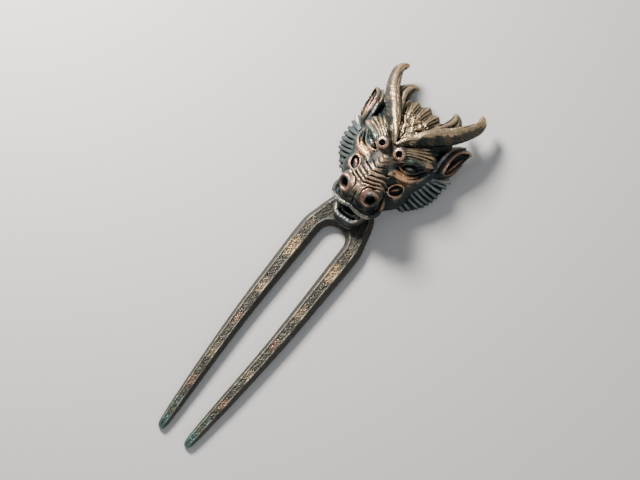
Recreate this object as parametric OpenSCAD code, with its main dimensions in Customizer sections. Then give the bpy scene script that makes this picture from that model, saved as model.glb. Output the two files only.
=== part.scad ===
// Two-pronged hairpin with a cast dragon mask, lying on its back.
// Millimetres. X runs across the prongs, Y from the prong tips to the horns, Z up out of the mask's face.

/* [Fork] */
// Length from the prong tips to the horn tips
overall_length = 150; // [140:1:158]
// Distance between the two prongs' centre lines at the shoulders
prong_spacing = 16.6; // [16:0.2:17.2]
// Width of a prong at the shoulder
prong_width = 6.9; // [6.2:0.1:7.2]
// Thickness of the fork at the shoulder
fork_thickness = 4.3; // [4:0.1:4.4]
// Width of the engraved flat along a prong, as a share of its width
band_share = 0.4; // [0.3:0.02:0.5]

/* [Mask] */
// Width over the fins of the frills
mask_width = 41.2; // [39:0.2:43]
// Height of the nose above the surface that the hairpin lies on
mask_height = 21; // [18:0.5:23]
// Number of frill ribs on each side
rib_count = 10; // [8:1:10]
// Radius of the hole drilled in each brow boss
boss_hole_r = 1.15; // [0.9:0.05:1.3]
// Depth of the hollow behind the skull
hollow_depth = 12.6; // [6:0.2:13]

/* [Fit] */
// Gap between the mask and the fork that it is seated on
seat_gap = 0.1; // [0.08:0.01:0.2]

/* [Hidden] */

bronze = [0.62, 0.47, 0.36];
dark_bronze = [0.33, 0.32, 0.28];

// The tables are written for these sizes, and scaled to the ones above. Their y starts a little above the tips.
table_length = 150;
table_width = 41.2;
table_height = 21;
table_hollow = 12.6;
horn_tip_y = 148.96;
prong_root_y = 83.6;
table_edge = 8.3;

// Where the mask meets the fork
arch_y = 88.9;
tang_half = 4.6;
tang_end = 107;
seat_end = 101.6;

// Sides of the swept forms
fine_sides = 9;
plain_sides = 8;
thin_sides = 6;
rib_sides = 5;

// One prong, a row for each section: y, share of the spacing, share of the width, share of the thickness
prong_rows = [
    [-1.04, 0.640, 0.14, 0.28],
    [-0.5, 0.643, 0.32, 0.44],
    [1.2, 0.655, 0.46, 0.58],
    [6.0, 0.690, 0.55, 0.66],
    [12, 0.735, 0.60, 0.72],
    [19.5, 0.795, 0.66, 0.80],
    [34, 0.895, 0.74, 0.86],
    [49, 0.965, 0.83, 0.92],
    [67, 0.990, 0.93, 0.98],
    [78, 1.000, 1.00, 1.00],
    [prong_root_y, 1.000, 1.00, 1.00]
];

// Shoulders, a row for each section: y, inner edge, outer edge, both from the centre plane, share of the bevel inside
shoulder_rows = [
    [83.0, 4.85, 11.75, 1.0],
    [85.4, 4.60, 11.60, 1.0],
    [87.1, 3.70, 11.25, 0.9],
    [88.3, 2.10, 10.95, 0.6],
    [arch_y, 0.00, 10.75, 0.0]
];

// Neck and tang under the mask, a row for each section: y, outer edge, share of the bevel outside
neck_rows = [
    [arch_y, 10.75, 1.0],
    [91.0, 10.20, 1.0],
    [93.8, 9.50, 1.0],
    [96.9, 8.40, 1.0],
    [99.6, 6.60, 0.6],
    [seat_end - 0.3, tang_half, 0.2],
    [tang_end, tang_half, 0.2]
];

// Skull, a row for each section: y, half width, underside, rim height, crown height, roundness
skull_rows = [
    [seat_end, 6.0, 0.0, 2.0, 9.0, 2.2],
    [104.0, 8.6, 0.0, 2.2, 11.0, 2.2],
    [107.0, 11.2, 0.0, 2.4, 12.6, 2.2],
    [110.5, 13.6, 0.0, 2.6, 13.6, 2.2],
    [114.5, 15.4, 0.0, 2.8, 14.0, 2.2],
    [118.5, 16.2, 0.0, 3.2, 15.0, 2.2],
    [122.0, 16.2, 0.0, 3.8, 16.6, 2.2],
    [126.0, 15.8, 0.0, 4.4, 16.4, 2.3],
    [130.0, 15.6, 0.0, 4.8, 14.6, 2.4],
    [133.0, 14.8, 1.2, 5.2, 12.4, 2.6],
    [135.0, 12.6, 3.6, 6.2, 10.8, 2.8],
    [136.4, 9.6, 6.2, 7.4, 9.4, 3.0]
];

// Muzzle, in the same columns as the skull
muzzle_rows = [
    [95.4, 4.4, 11.4, 12.8, 14.8, 2.4],
    [96.4, 6.2, 9.6, 12.0, 17.8, 3.0],
    [98.2, 7.2, 5.6, 11.2, 19.9, 3.4],
    [100.6, 7.0, 4.0, 10.6, 20.8, 3.6],
    [103.4, 6.4, 4.0, 10.4, 20.7, 4.0],
    [106.6, 6.0, 4.0, 10.4, 19.8, 4.0],
    [109.4, 5.2, 4.0, 10.4, 18.6, 3.2],
    [112.4, 3.8, 4.0, 10.4, 17.2, 2.4],
    [115.4, 2.6, 6.0, 11.0, 16.0, 2.0],
    [118.6, 2.0, 8.0, 13.0, 16.8, 2.0]
];

// Hollow behind the skull, in the same columns
hollow_rows = [
    [108.8, 6.0, -2, 0.2, 5.0, 3.0],
    [110.4, 9.0, -2, 0.4, 9.0, 2.4],
    [114.0, 11.8, -2, 0.6, 11.0, 2.2],
    [119.0, 13.0, -2, 0.8, 12.0, 2.2],
    [124.0, 12.8, -2, 1.2, 12.6, 2.2],
    [128.4, 11.6, -2, 1.0, 10.4, 2.4],
    [131.4, 8.6, -2, 0.6, 6.0, 3.0]
];

// Swept forms of the right side, a row for each section: x, y, z, width, height
horn_rows = [
    [0.5, 119.4, 15.6, 2.4, 3.4],
    [2.2, 122.4, 16.6, 3.8, 4.6],
    [5.6, 127.0, 15.8, 5.0, 5.4],
    [9.4, 131.4, 13.9, 5.6, 5.6],
    [12.9, 135.8, 11.6, 5.6, 5.4],
    [15.4, 139.8, 9.6, 5.2, 5.0],
    [16.8, 143.4, 8.0, 4.4, 4.4],
    [16.8, 146.4, 7.4, 3.2, 3.4],
    [15.2, 148.7, 7.0, 0.8, 1.0]
];
tine_rows = [
    [10.6, 135.2, 10.8, 8.0, 4.0],
    [10.2, 138.0, 10.0, 6.8, 3.8],
    [9.8, 140.4, 9.0, 5.0, 3.2],
    [9.1, 142.3, 8.1, 3.2, 2.6],
    [7.6, 143.7, 7.2, 0.7, 1.0]
];
brow_rows = [
    [1.9, 117.6, 15.8, 2.6, 4.0],
    [3.6, 117.4, 16.6, 4.0, 5.0],
    [6.0, 119.0, 15.8, 4.0, 4.8],
    [8.8, 120.8, 13.6, 4.4, 4.4],
    [11.4, 122.8, 11.0, 4.6, 3.4],
    [13.4, 124.4, 9.0, 2.6, 2.0]
];
cheek_ridge_rows = [
    [4.6, 108.6, 14.6, 1.4, 1.8],
    [4.8, 111.0, 15.2, 2.0, 2.2],
    [6.8, 112.8, 13.0, 2.2, 2.4],
    [9.2, 113.8, 11.2, 2.4, 2.6],
    [11.4, 115.4, 10.4, 2.4, 2.6],
    [12.6, 118.2, 9.2, 2.2, 2.4],
    [14.0, 122.4, 6.4, 1.0, 1.4]
];
lip_rows = [
    [0.0, 94.9, 12.4, 2.2, 2.4],
    [3.4, 94.8, 11.8, 2.2, 2.4],
    [6.3, 95.4, 11.1, 2.2, 2.4],
    [8.0, 96.8, 11.0, 2.2, 2.4],
    [8.4, 99.0, 10.8, 2.2, 2.4],
    [7.4, 102.4, 9.8, 1.6, 2.2]
];
jaw_rows = [
    [0.0, 90.8, 6.9, 2.2, 4.2],
    [2.3, 91.0, 6.9, 2.2, 4.2],
    [4.1, 92.0, 6.8, 2.2, 4.2],
    [5.3, 94.0, 6.9, 2.2, 4.2],
    [6.3, 96.8, 7.2, 2.4, 4.2],
    [7.0, 99.8, 7.4, 2.6, 4.4],
    [7.2, 103.4, 6.6, 2.8, 4.4]
];
wing_rows = [
    [2.6, 105.0, 19.0, 1.8, 2.2],
    [4.4, 103.4, 18.8, 3.0, 3.0],
    [6.0, 101.6, 17.4, 3.4, 3.8],
    [7.2, 99.6, 15.2, 2.4, 3.6]
];
ear_rows = [
    [15.8, 124.6, 4.4, 2.6, 4.0],
    [16.4, 127.0, 5.8, 4.8, 6.4],
    [16.9, 130.0, 6.0, 5.2, 7.0],
    [17.5, 132.8, 5.2, 4.6, 5.6],
    [18.8, 134.8, 4.4, 3.0, 3.6],
    [20.4, 136.0, 3.8, 0.8, 1.0]
];
ear_hollow_rows = [
    [16.9, 126.2, 7.4, 1.2, 3.0],
    [17.5, 128.0, 8.0, 2.8, 6.0],
    [18.0, 130.2, 8.2, 3.2, 6.6],
    [18.4, 132.6, 7.4, 2.6, 5.0],
    [19.3, 134.4, 5.8, 1.0, 2.4]
];
ear_fold_rows = [
    [13.8, 124.4, 9.4, 0.8, 1.6],
    [14.2, 127.2, 10.0, 1.6, 3.6],
    [14.6, 130.0, 9.4, 1.8, 4.4],
    [15.8, 133.2, 7.4, 1.6, 4.0],
    [17.4, 136.4, 5.4, 0.8, 1.4]
];

// Crest leaves from the middle outwards, a row for each: base x, base y, base z, tip x, tip y, tip z, width
leaf_rows = [
    [0.0, 124.0, 14.8, 0.0, 139.2, 8.6, 5.6],
    [3.0, 125.0, 14.8, 4.3, 137.9, 10.0, 4.6]
];

// Curls of hair at the foot of the crest, a row for each: x, y, z, radius
curl_rows = [
    [0.0, 124.6, 16.7, 0.9],
    [1.7, 127.2, 16.2, 0.9],
    [3.6, 129.4, 15.0, 1.0]
];

// Strands of the brow, a row for each: tip x, tip y, tip z
strand_rows = [
    [14.2, 122.6, 9.0],
    [14.2, 124.6, 9.4],
    [13.2, 126.4, 10.6],
    [10.6, 125.6, 13.0]
];
strand_root = [5.2, 118.8, 17.6];

// Frill ribs from the chin upwards, a row for each: inner x, inner y, outer x, outer y
rib_rows = [
    [9.8, 107.4, 13.5, 106.9],
    [10.8, 109.0, 14.7, 108.5],
    [12.0, 110.5, 16.6, 110.7],
    [13.3, 112.0, 17.8, 112.4],
    [14.2, 113.5, 18.5, 114.0],
    [14.9, 115.1, 19.0, 115.7],
    [15.3, 116.8, 19.4, 117.6],
    [15.5, 118.6, 19.4, 119.8],
    [15.4, 120.3, 19.6, 122.8],
    [15.2, 122.0, 20.1, 126.2]
];
rib_inner_z = 4.4;
rib_outer_z = 1.5;
rib_width = 1.15;
rib_height = 2.3;
web_height = 1.4;

// Rolls of skin over the snout, by the y of their middle, from the eyes to the nose
roll_y = [109.0, 107.2, 105.4, 103.7, 102.1];
roll_size = 1.2;

eye_at = [8.0, 117.6, 10.6];
eye_r = 2.3;
boss_at = [3.4, 117.1, 18.6];
boss_axis = [0.1, -0.45, 0.9];
boss_r = 2.15;
nostril_at = [5.0, 98.4, 17.6];
nostril_axis = [0.42, -0.6, 0.68];
nostril_r = 2.1;
ring_axis = [0.55, -0.15, 0.82];
ring_at = [8.2, 107.6, 10.2];
cheek_at = [7.4, 108.6, 5.4];
cheek_size = [4.6, 4.6, 4.8];
ring_r = 2.2;

function unit(v) = v / norm(v);
function spot(row) = [row[0], row[1], row[2]];
function direction(rows, i) =
    unit(spot(rows[min(i + 1, len(rows) - 1)]) - spot(rows[max(i - 1, 0)]));

// A point between rows i and i + 1 on a smooth curve through all of them
function between(rows, i, t) =
    let (a = rows[max(i - 1, 0)], b = rows[i], c = rows[i + 1], d = rows[min(i + 2, len(rows) - 1)])
    0.5 * (2 * b + (c - a) * t + (2 * a - 5 * b + 4 * c - d) * t * t + (3 * b - a - 3 * c + d) * t * t * t);
function smooth(rows, steps) = concat(
    [for (i = [0 : len(rows) - 2]) for (s = [0 : steps - 1]) between(rows, i, s / steps)],
    [rows[len(rows) - 1]]
);

// One column of a table at any y, for tables whose first column is y
function column_at(rows, column, y) = lookup(y, [for (row = rows) [row[0], row[column]]]);
function crown_at(rows, x, y) =
    let (
        half = column_at(rows, 1, y),
        rim = column_at(rows, 3, y),
        crown = column_at(rows, 4, y),
        power = column_at(rows, 5, y)
    )
    rim + (crown - rim) * (1 - pow(min(1, abs(x) / half), power));

// Closed solid through rings that all have the same number of points
module skin(rings) {
    sides = len(rings[0]);
    last = len(rings) - 1;
    points = [for (ring = rings) for (p = ring) p];
    walls = [
        for (i = [0 : last - 1]) for (k = [0 : sides - 1])
            let (a = i * sides + k, b = i * sides + (k + 1) % sides)
            for (face = [[a, b, a + sides], [b, b + sides, a + sides]]) face
    ];
    start = [[for (k = [sides - 1 : -1 : 0]) k]];
    end = [[for (k = [0 : sides - 1]) last * sides + k]];
    polyhedron(points = points, faces = concat(walls, start, end), convexity = 6);
}

// Oval ring of a swept form, square to its path
function oval(at, dir, width, height, sides) =
    let (side = unit(cross(dir, [0, 0, 1])), top = cross(side, dir))
    [for (k = [0 : sides - 1])
        let (a = 360 * (k + 0.5) / sides)
        at + side * width / 2 * cos(a) + top * height / 2 * sin(a)];

module sweep(rows, sides = plain_sides) {
    skin([for (i = [0 : len(rows) - 1])
        oval(spot(rows[i]), direction(rows, i), rows[i][3], rows[i][4], sides)]);
}

// Domed slab through sections at fixed y, flat underneath
module dome(rows, points = 11) {
    skin([for (row = rows) concat(
        [[row[1], row[0], row[2]]],
        [for (k = [0 : points - 1])
            let (t = 1 - 2 * k / (points - 1))
            [row[1] * t, row[0], row[3] + (row[4] - row[3]) * (1 - pow(abs(t), row[5]))]],
        [[-row[1], row[0], row[2]]]
    )]);
}

module both_sides() {
    children();
    mirror([1, 0, 0]) children();
}

// Places a child at a point with its Z turned along a direction
module facing(at, dir) {
    d = unit(dir);
    translate(at) rotate([0, acos(d[2]), atan2(d[1], d[0])]) children();
}

module torus(r, tube, turns = 10, sides = 4) {
    skin_closed([for (i = [0 : turns - 1])
        let (a = 360 * i / turns)
        [for (k = [0 : sides - 1])
            let (b = 360 * (k + 0.5) / sides, reach = r + tube * cos(b))
            [reach * cos(a), reach * sin(a), tube * sin(b)]]]);
}

// Closed ring of sections, such as a torus
module skin_closed(rings) {
    sides = len(rings[0]);
    count = len(rings);
    polyhedron(
        points = [for (ring = rings) for (p = ring) p],
        faces = [
            for (i = [0 : count - 1]) for (k = [0 : sides - 1])
                let (
                    a = i * sides + k,
                    b = i * sides + (k + 1) % sides,
                    c = ((i + 1) % count) * sides + k,
                    d = ((i + 1) % count) * sides + (k + 1) % sides
                )
                for (face = [[a, b, c], [b, d, c]]) face
        ],
        convexity = 6
    );
}

// Eight-sided section between two edges, flat on top and underneath, with a bevel of its own on each side
function bevelled(y, x_in, x_out, thickness, bevel_in, bevel_out) =
    let (low = thickness * 0.32, high = thickness * 0.6, foot = 0.45)
    [
        [x_out - bevel_out * foot, y, 0], [x_out, y, low], [x_out, y, high], [x_out - bevel_out, y, thickness],
        [x_in + bevel_in, y, thickness], [x_in, y, high], [x_in, y, low], [x_in + bevel_in * foot, y, 0]
    ];

bevel = prong_width / 2 * (1 - band_share);

module prong() {
    rows = smooth(prong_rows, 2);
    skin([for (row = rows)
        let (
            x = prong_spacing / 2 * row[1],
            half = prong_width / 2 * row[2],
            y = row[0] - (overall_length - table_length) * (1 - row[0] / prong_root_y)
        )
        bevelled(y, x - half, x + half, fork_thickness * row[3], bevel * row[2], bevel * row[2])]);
}

// The inner bevel runs out where the two shoulders meet
module shoulder() {
    edge = prong_spacing / 2 - table_edge;
    skin([for (row = shoulder_rows)
        bevelled(row[0], max(row[1] + (row[1] > 0 ? edge : 0), 0), row[2] + edge, fork_thickness,
            bevel * row[3], bevel)]);
}

module neck() {
    edge = prong_spacing / 2 - table_edge;
    both_sides() skin([for (row = neck_rows)
        bevelled(row[0], 0, row[1] > tang_half ? row[1] + edge : row[1], fork_thickness, 0, bevel * row[2])]);
}

module fork() {
    color(dark_bronze) centred() {
        both_sides() {
            prong();
            shoulder();
        }
        neck();
    }
}

// Puts the middle of the whole hairpin over the origin
module centred() {
    translate([0, overall_length / 2 - horn_tip_y, 0]) children();
}

module horn() {
    sweep(smooth(horn_rows, 2), fine_sides);
    sweep(tine_rows, plain_sides);
}

module brow() {
    sweep(brow_rows, plain_sides);
    for (row = strand_rows) {
        tip = spot(row);
        middle = (strand_root + tip) / 2 + [0, 0, 0.5];
        sweep([
            concat(strand_root, [1.4, 1.6]),
            concat(middle, [1.5, 1.9]),
            concat(tip, [0.4, 0.6])
        ], thin_sides);
    }
    facing(boss_at, boss_axis) {
        translate([0, 0, -3.6]) cylinder(h = 4, r1 = boss_r * 1.2, r2 = boss_r, $fn = 12);
        translate([0, 0, 0.4]) torus((boss_r + boss_hole_r) / 2, 0.5);
    }
}

module boss_hole() {
    facing(boss_at - 1.8 * unit(boss_axis), boss_axis) cylinder(h = 4, r = boss_hole_r, $fn = 12);
}

module eye_socket() {
    translate(eye_at + [-0.2, -0.4, 2.0]) scale([4.2, 2.6, 2.6]) sphere(r = 1, $fn = 12);
}

module eye() {
    translate(eye_at) scale([1.15, 0.8, 0.9]) sphere(r = eye_r, $fn = 12);
}

module nostril() {
    facing(nostril_at, nostril_axis) torus(nostril_r, 0.95, 12, thin_sides);
    sweep(wing_rows, plain_sides);
}

module nostril_hole() {
    facing(nostril_at - 1.2 * unit(nostril_axis), nostril_axis) cylinder(h = 4, r = nostril_r * 0.62, $fn = 12);
}

module cheek_ring() {
    translate(cheek_at) scale(cheek_size) sphere(r = 1, $fn = 10);
    facing(ring_at, ring_axis) {
        torus(ring_r, 0.55);
        scale([1.3, 0.8, 0.7]) sphere(r = 1, $fn = 8);
    }
}

// Rounded bar between two points, wider or narrower at its outer end
module bar(start, end, width, height, end_width, end_height) {
    hull() {
        translate(start) scale([width, width, height]) sphere(r = 0.5, $fn = 5);
        translate(end) scale([end_width, end_width, end_height]) sphere(r = 0.5, $fn = 5);
    }
}

module rib(row, fin) {
    bar([row[0], row[1], rib_inner_z], [row[2] - 0.4, row[3] - 0.1, rib_outer_z],
        rib_width, rib_height, rib_width * fin, rib_height * 0.9);
}

module frill() {
    last = len(rib_rows) - 1;
    first = len(rib_rows) - rib_count;
    for (i = [first : last]) rib(rib_rows[i], i == last ? 1.5 : 1);
    linear_extrude(height = web_height) polygon(concat(
        [for (i = [first : last]) [rib_rows[i][2] - 0.7, rib_rows[i][3]]],
        [for (i = [last : -1 : first]) [rib_rows[i][0] - 1, rib_rows[i][1]]]
    ));
}

module ear() {
    difference() {
        sweep(ear_rows, plain_sides);
        sweep(ear_hollow_rows, thin_sides);
    }
    sweep(ear_fold_rows, thin_sides);
}

module leaf(row) {
    base = spot(row);
    tip = [row[3], row[4], row[5]];
    width = row[6];
    stations = [[0, 0.5, 1.2], [0.35, 0.85, 2.0], [0.7, 1, 2.2], [0.88, 0.7, 1.8], [1, 0.15, 0.8]];
    sweep([for (s = stations)
        concat(base + (tip - base) * s[0] + [0, 0, 0.9 * s[0] * (1 - s[0]) * 4], [width * s[1], s[2]])], thin_sides);
}

module curl(row) {
    steps = 5;
    sweep([for (i = [0 : steps])
        let (a = 300 * i / steps, r = row[3] * (1 - 0.4 * i / steps))
        [row[0] + r * cos(a), row[1] + r * sin(a), row[2], 0.8, 1]], rib_sides);
}

module crest() {
    leaf(leaf_rows[0]);
    curl(curl_rows[0]);
    both_sides() {
        for (i = [1 : len(leaf_rows) - 1]) leaf(leaf_rows[i]);
        for (i = [1 : len(curl_rows) - 1]) curl(curl_rows[i]);
    }
}

module roll(y) {
    reach = column_at(muzzle_rows, 1, y);
    // Shares of the half width, with how far the roll bends back there
    bends = [[-1, -0.9], [-0.7, 0.3], [-0.35, 0.7], [0, -0.5], [0.35, 0.7], [0.7, 0.3], [1, -0.9]];
    sweep([for (b = bends)
        let (x = b[0] * reach * 0.96, at_y = y + b[1])
        [x, at_y, crown_at(muzzle_rows, x, at_y) - 0.15, roll_size, roll_size]], rib_sides);
}

module tooth(at, dir, length, r) {
    facing(at, dir) cylinder(h = length, r1 = r, r2 = r * 0.25, $fn = 5);
}

module teeth() {
    for (x = [-2.4, -0.8, 0.8, 2.4]) tooth([x, 91.8, 8.2], [0, 0.1, 1], 1.5, 0.6);
    both_sides() {
        tooth([4.2, 92.8, 8.0], [0.1, 0.25, 1], 3.0, 0.75);
        for (x = [2.2]) tooth([x, 95.6, 11.6], [0, -0.25, -1], 1.8, 0.6);
        tooth([5.2, 96.0, 11.2], [0, -0.25, -1], 2.6, 0.75);
    }
}

// Floor of the mouth, between the jaw and the muzzle
module throat() {
    linear_extrude(height = fork_thickness + 1.8) polygon([
        [-3.8, 91.6], [3.8, 91.6], [5.2, 94], [6.4, 98], [6.8, seat_end + 1],
        [-6.8, seat_end + 1], [-6.4, 98], [-5.2, 94]
    ]);
}

// Room for the fork under the mask
module seat() {
    top = fork_thickness + seat_gap;
    front = 80;
    half = tang_half + seat_gap;
    translate([-mask_width / 2, front, -1]) cube([mask_width, seat_end - front, top + 1]);
    translate([-half, front, -1]) cube([2 * half, tang_end + seat_gap - front, top + 1]);
}

module dragon_head() {
    color(bronze) centred() difference() {
        scale([mask_width / table_width, 1, mask_height / table_height]) union() {
            difference() {
                union() {
                    dome(skull_rows);
                    dome(muzzle_rows);
                    both_sides() brow();
                }
                scale([1, 1, hollow_depth / table_hollow]) dome(hollow_rows);
                both_sides() {
                    eye_socket();
                    boss_hole();
                }
            }
            difference() {
                both_sides() nostril();
                both_sides() nostril_hole();
            }
            both_sides() {
                horn();
                eye();
                sweep(cheek_ridge_rows, thin_sides);
                sweep(smooth(lip_rows, 2), thin_sides);
                sweep(jaw_rows, thin_sides);
                cheek_ring();
                frill();
                ear();
            }
            for (y = roll_y) roll(y);
            crest();
            teeth();
            throat();
        }
        seat();
    }
}

fork();
dragon_head();
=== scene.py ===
import math

import bpy
import numpy as np
import openvdb
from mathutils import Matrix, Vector


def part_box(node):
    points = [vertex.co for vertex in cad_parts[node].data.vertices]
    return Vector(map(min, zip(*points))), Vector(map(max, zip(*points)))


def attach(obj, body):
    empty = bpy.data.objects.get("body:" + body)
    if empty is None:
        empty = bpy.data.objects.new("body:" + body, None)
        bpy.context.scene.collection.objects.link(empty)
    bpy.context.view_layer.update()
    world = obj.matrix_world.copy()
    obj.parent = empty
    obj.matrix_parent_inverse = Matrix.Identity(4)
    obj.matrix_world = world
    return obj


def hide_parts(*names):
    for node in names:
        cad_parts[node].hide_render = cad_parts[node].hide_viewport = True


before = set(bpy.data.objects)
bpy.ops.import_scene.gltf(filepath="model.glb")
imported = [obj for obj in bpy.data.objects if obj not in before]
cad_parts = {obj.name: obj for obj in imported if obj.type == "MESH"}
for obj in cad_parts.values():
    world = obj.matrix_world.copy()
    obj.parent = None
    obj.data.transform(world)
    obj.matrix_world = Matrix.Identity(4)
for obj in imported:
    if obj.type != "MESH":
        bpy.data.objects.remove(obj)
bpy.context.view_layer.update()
print("frame loaded:", ", ".join(sorted(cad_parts)))

# In the tables y is 0 a little above the prong tips, which are at tipStart
tipStart = -1.04
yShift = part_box("fork")[0].y * 1000 - tipStart
tiny = 1e-4  # keeps a division from failing


def unit(v):
    return np.array(v, float) / np.linalg.norm(v)


def smoothRows(rows, steps=6):  # a smooth path through the rows, column by column
    rows = np.array(rows, float)
    padded = np.vstack([2 * rows[0] - rows[1], rows, 2 * rows[-1] - rows[-2]])
    found = []
    for i in range(len(rows) - 1):
        a, b, c, d = padded[i:i + 4]
        for t in np.arange(steps) / steps:
            found.append(0.5 * (2 * b + (c - a) * t + (2 * a - 5 * b + 4 * c - d) * t * t
                                + (3 * b - a - 3 * c + d) * t ** 3))
    return np.array(found + [rows[-1]])


def joined(a, b, soft):  # two forms melted together
    gap = np.maximum(soft - np.abs(a - b), 0) / soft
    return np.minimum(a, b) - gap * gap * soft / 4


def shared(a, b, soft):  # what two forms have in common
    return -joined(-a, -b, soft)


def projected(offset, axis):  # how far an offset goes along an axis
    return offset[0] * axis[0] + offset[1] * axis[1] + offset[2] * axis[2]


def turnedAxes(ahead, up):  # three axes at right angles: ahead, sideways and as near to up as can be
    first = unit(ahead)
    third = unit(np.array(up, float) - np.dot(up, first) * first)
    return first, np.cross(third, first), third


def eggDistance(parts, sizes, least):  # from points to an egg's surface, both given along its axes
    near = np.sqrt(sum((p / s) ** 2 for p, s in zip(parts, sizes)))
    slope = np.sqrt(sum((p / s ** 2) ** 2 for p, s in zip(parts, sizes)))
    return (near - 1) * (near + tiny) / (slope + tiny / least)


def fromLine(x, y, a, b):  # the nearest share of a line to each point, and how far off the point is
    way = (b - a)[:2]
    t = np.clip(((x - a[0]) * way[0] + (y - a[1]) * way[1]) / max(way @ way, tiny ** 2), 0, 1)
    return t, np.hypot(x - a[0] - t * way[0], y - a[1] - t * way[1])


# Waves for the patterns. along runs from 0 to 1 over a sweep, and turn is the angle round it
def swell(angle, wave=np.sin):  # a wave between 0 and 1
    return 0.5 + 0.5 * wave(angle)


def hump(value, middle, width):
    return np.exp(-((value - middle) / width) ** 2)


def ripple(along, turn, across, lengthwise=0, sway=0, sways=0):  # the angle of a wave that sways
    return turn * across + along * lengthwise + sway * np.sin(along * sways)


def boxBlur(field, reach):
    for axis in range(3):
        pad = [(0, 0)] * 3
        pad[axis] = (reach + 1, reach)
        total = np.cumsum(np.pad(field, pad, mode="edge"), axis=axis, dtype=np.float64)
        size = field.shape[axis]
        upper = np.take(total, np.arange(size) + 2 * reach + 1, axis=axis)
        lower = np.take(total, np.arange(size), axis=axis)
        field = ((upper - lower) / (2 * reach + 1)).astype(np.float32)
    return field


def sampled(field, points):  # the field at points between the grid's own
    base = np.clip(np.floor(points).astype(int), 0, np.array(field.shape) - 2)
    share = (points - base).astype(np.float32)
    total = np.zeros(len(points), np.float32)
    for corner in np.ndindex(2, 2, 2):
        weight = np.prod(np.where(corner, share, 1 - share), axis=1)
        total += weight * field[tuple((base + corner).T)]
    return total


def setOut(name, data):  # a new object in the scene
    made = bpy.data.objects.new(name, data)
    bpy.context.scene.collection.objects.link(made)
    return made


def stamp(mesh, label, values, kind="FLOAT", field="value"):  # one value for each point of a mesh
    mesh.attributes.new(label, kind, "POINT").data.foreach_set(field, values)


def upward(mesh):  # how far each point faces up
    ups = np.zeros(3 * len(mesh.vertices), np.float32)
    mesh.vertex_normals.foreach_get("vector", ups)
    return ups[2::3].copy()


waxRules = {
    "far": 2.5, "outside": 3.0,  # these stand for every greater distance
    "spare": 4, "eggSpare": 3,  # how much wider a form's box is than the form, in grid steps
    "domeSpare": 1.5, "domeTop": 2.5, "drillStart": 1.5, "thinnest": 0.15, "hairline": 0.1, "steepest": 5,
    "fade": 0.6, "sky": 99,  # a stroke fades in over this height above its floor
    "relief": {"fineRelief": 0.45, "broadRelief": 1.3}, "proudest": 1.5,  # relief is taken over these radii
}


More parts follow.
